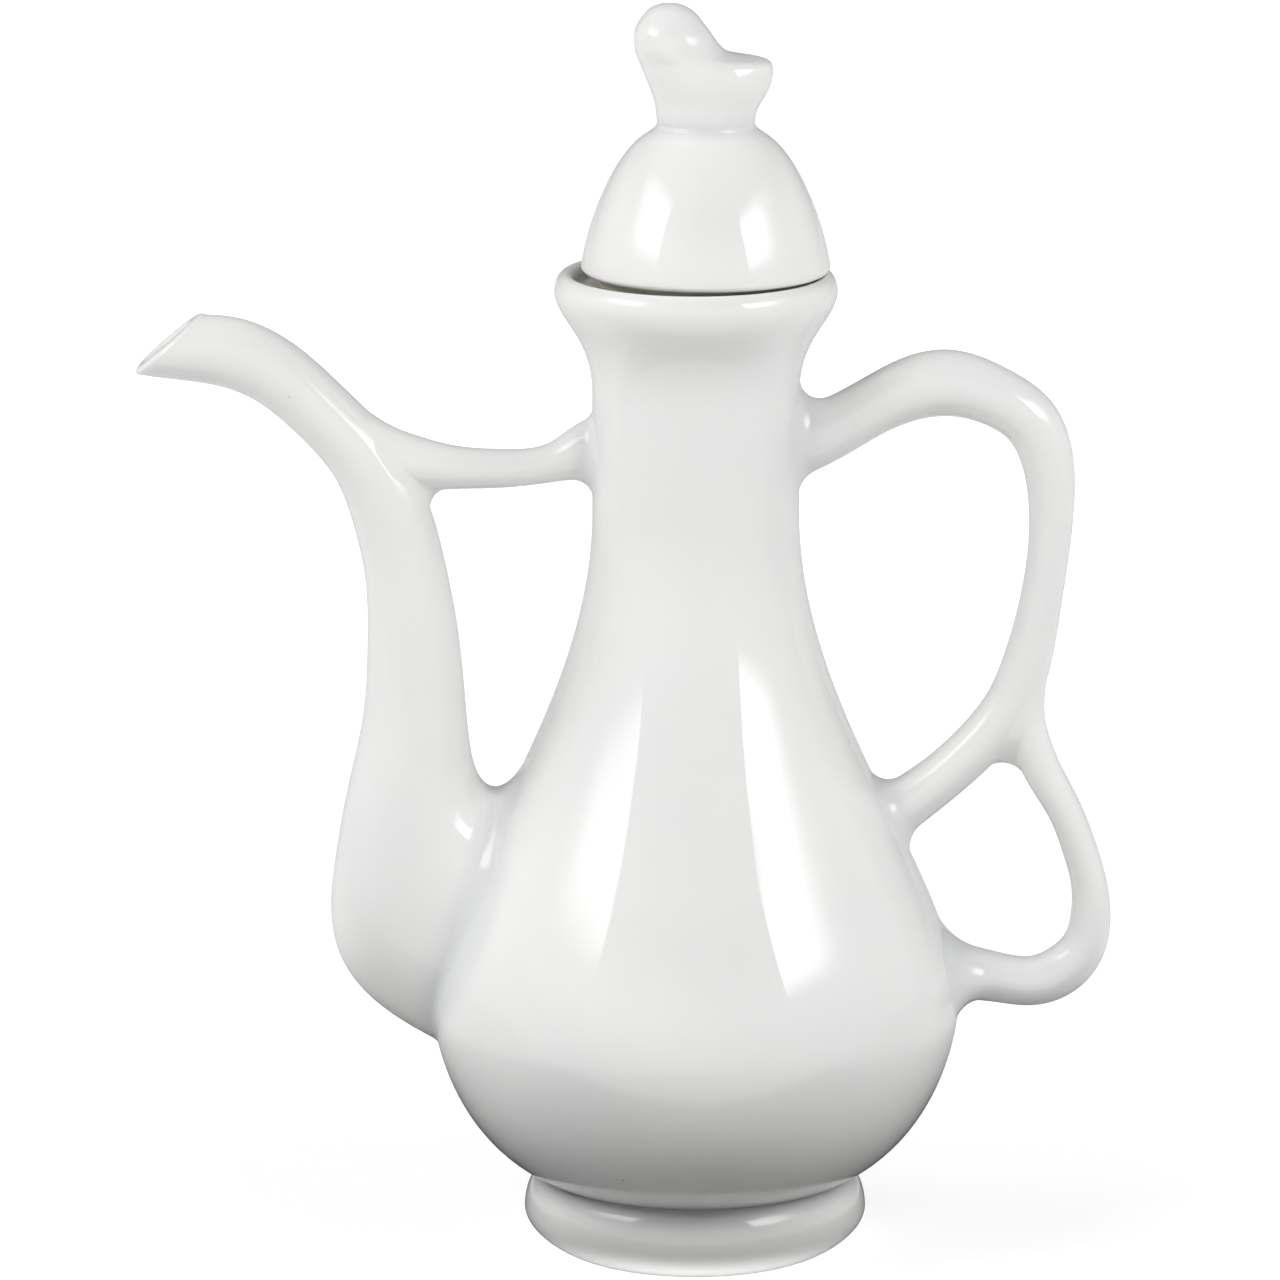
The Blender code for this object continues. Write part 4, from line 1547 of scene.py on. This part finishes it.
@dataclass
class Studio:
    """The pale table, the white sweep round it, the lamps, the soft boxes and the camera."""

    axis: float
    elevation: float = math.radians(12.55)
    distance: float = 2.0
    frame_width: float = 0.2418
    aim_aside: float = -0.0105
    aim_height: float = 0.1182
    sensor: float = 36.0
    sight: float = 50.0
    lamp_aim: float = 0.10
    table: float = 12.0
    sweep_top: Row = (0.24, 0.56)
    ceiling: float = 0.02
    sweep_back: Row = (0.3, 0.95)
    behind: float = 0.3
    lamps: Sequence[Lamp] = (
        Lamp("key_left", Stand(-50.0, 42.0, 2.0, 0.8, 0.8), 17.8),
        Lamp("key_right", Stand(50.0, 42.0, 2.0, 0.8, 0.8), 19.2),
        Lamp("side_left", Stand(-100.0, 36.0, 2.0, 1.1, 1.1), 14.5),
        Lamp("side_right", Stand(100.0, 14.0, 2.0, 1.1, 1.1), 8.5),
        Lamp("overhead", Stand(0.0, 65.0, 2.0, 0.9, 0.9), 2.0),
    )
    boxes: Sequence[SoftBox] = (
        SoftBox(
            SoftFront("soft_box_left", 4.2, 0.8, 0.45, 0.0),
            Stand(-67.0, 34.0, 0.65, 0.43, 0.34),
        ),
        SoftBox(
            SoftFront("soft_box_right", 6.5, 1.0, 0.35, 0.85),
            Stand(63.5, 27.0, 1.2, 0.94, 0.53),
        ),
    )

    def build(self) -> None:
        """Set up the table, the sweep, the lamps, the soft boxes and the camera."""
        target = Vector((self.axis, 0.0, self.lamp_aim))
        self.lay_floor()
        self.hang_sweep()
        for light in (*self.lamps, *self.boxes):
            light.build(target)
        self.place_camera()

    def lay_floor(self) -> None:
        """Lay the table top."""
        Bench.deselect()
        bpy.ops.mesh.primitive_grid_add(x_subdivisions=8, y_subdivisions=8, size=self.table)
        floor = bpy.context.object
        floor.name = "table_top"
        floor.data.materials.append(PaleFloor(self.axis).material())

    def hang_sweep(self) -> None:
        """Make the world white to the camera, and a sweep under a dark ceiling to the glaze."""
        world = bpy.data.worlds.new("white_sweep")
        bpy.context.scene.world = world
        recipe = Recipe(world)
        rays = recipe.node("ShaderNodeLightPath").outputs
        place = recipe.node("ShaderNodeTexCoord").outputs["Generated"]
        turn = recipe.node("ShaderNodeSeparateXYZ", Vector=place).outputs
        cloth = recipe.ramp(turn["Z"], self.sweep_top, (1.0, self.ceiling))
        cloth = recipe.times(cloth, recipe.ramp(turn["Y"], self.sweep_back, (1.0, self.behind)))
        mirrored = recipe.times(rays["Is Glossy Ray"], cloth)
        level = recipe.plus(rays["Is Camera Ray"], mirrored)
        level = recipe.plus(level, rays["Is Transmission Ray"])
        recipe.feed(recipe.shader, Color=WHITE, Strength=level)

    def place_camera(self) -> None:
        """Stand the camera where the photograph was taken."""
        aim = Vector((self.axis + self.aim_aside, 0.0, self.aim_height))
        away = Vector((0.0, -math.cos(self.elevation), math.sin(self.elevation)))
        Bench.deselect()
        bpy.ops.object.camera_add(location=aim + away * self.distance)
        camera = bpy.context.object
        camera.name = "photo_camera"
        camera.rotation_euler = away.to_track_quat("Z", "Y").to_euler()
        camera.data.sensor_width = self.sensor
        camera.data.lens = self.sensor * self.distance / self.frame_width
        camera.data.clip_end = self.sight
        bpy.context.scene.camera = camera


@dataclass
class WineJug:
    """The whole jug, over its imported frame."""

    finish: Glaze = field(default_factory=lambda: Glaze("white_glaze"))

    def build(self) -> float:
        """Build, dress and attach every piece.

        Returns:
            The body axis's place along X.
        """
        low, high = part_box("jug_body")
        axis = (low.x + high.x) / 2
        belly = (high.x - low.x) / 2
        pot = Pot(belly, high.z, axis)
        host = TurnedSurface(pot.outside())
        spout = Spout(axis, belly)
        strut = Bar("strut_glazed", axis, belly, -1, STRUT_STATIONS, *STRUT_FILLETS, rings=60)
        bow = Bar("handle_bow_glazed", axis, belly, 1, BOW_STATIONS, *BOW_FILLETS)
        loop = Bar("finger_loop_glazed", axis, belly, 1, LOOP_STATIONS, *LOOP_FILLETS)
        spout_limb, bow_limb = spout.limb(), bow.limb()
        limbs = [spout_limb, strut.limb(), bow_limb, loop.limb()]

        glaze = self.finish.material()
        self.dress(pot.build(spout_limb, limbs), glaze, Body.JUG, "jug_body")
        self.dress(Foot(axis).build(pot), glaze, Body.JUG, "foot_ring")
        self.dress(spout.build(host), glaze, Body.JUG, "spout")
        self.dress(strut.build(spout_limb, host), glaze, Body.JUG, "spout_strut")
        self.dress(bow.build(host, host), glaze, Body.JUG, "handle_bow")
        self.dress(loop.build(bow_limb, host), glaze, Body.JUG, "handle_finger_loop")

        low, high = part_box("lid_dome")
        collar_low, collar_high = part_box("lid_collar")
        lid = Lid(
            axis=(low.x + high.x) / 2,
            base=low.z,
            radius=(high.x - low.x) / 2,
            collar_radius=COLLAR_RADIUS,
            flange_radius=(collar_high.x - collar_low.x) / 2,
            rest=-(pot.lip_radius + pot.seat_drop),
        )
        self.dress(lid.build_dome(), glaze, Body.LID, "lid_dome")
        self.dress(lid.build_collar(), glaze, Body.LID, "lid_collar")
        self.dress(lid.build_knob(), glaze, Body.LID, "lid_finial")
        return axis

    @staticmethod
    def dress(obj: Piece, glaze: bpy.types.Material, body: Body, node: str) -> None:
        """Give a piece its finish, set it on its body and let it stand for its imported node.

        Args:
            obj: The piece.
            glaze: Its finish.
            body: What it moves with.
            node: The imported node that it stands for.
        """
        for mark in Mark:
            if mark.value not in obj.data.attributes:
                Bench.paint(obj, mark, np.zeros(len(obj.data.vertices)))
        obj.data.materials.clear()
        obj.data.materials.append(glaze)
        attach(obj, body.value)
        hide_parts(node)
        LOG.info("%s stands for %s with %d points", obj.name, node, len(obj.data.vertices))


def main() -> None:
    """Load the frame, build the jug and the studio, and set the standard view transform."""
    logging.basicConfig(level=logging.INFO, format="%(name)s: %(message)s")
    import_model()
    axis = WineJug().build()
    Studio(axis).build()
    bpy.context.scene.view_settings.view_transform = "Standard"


if __name__ == "__main__":
    main()
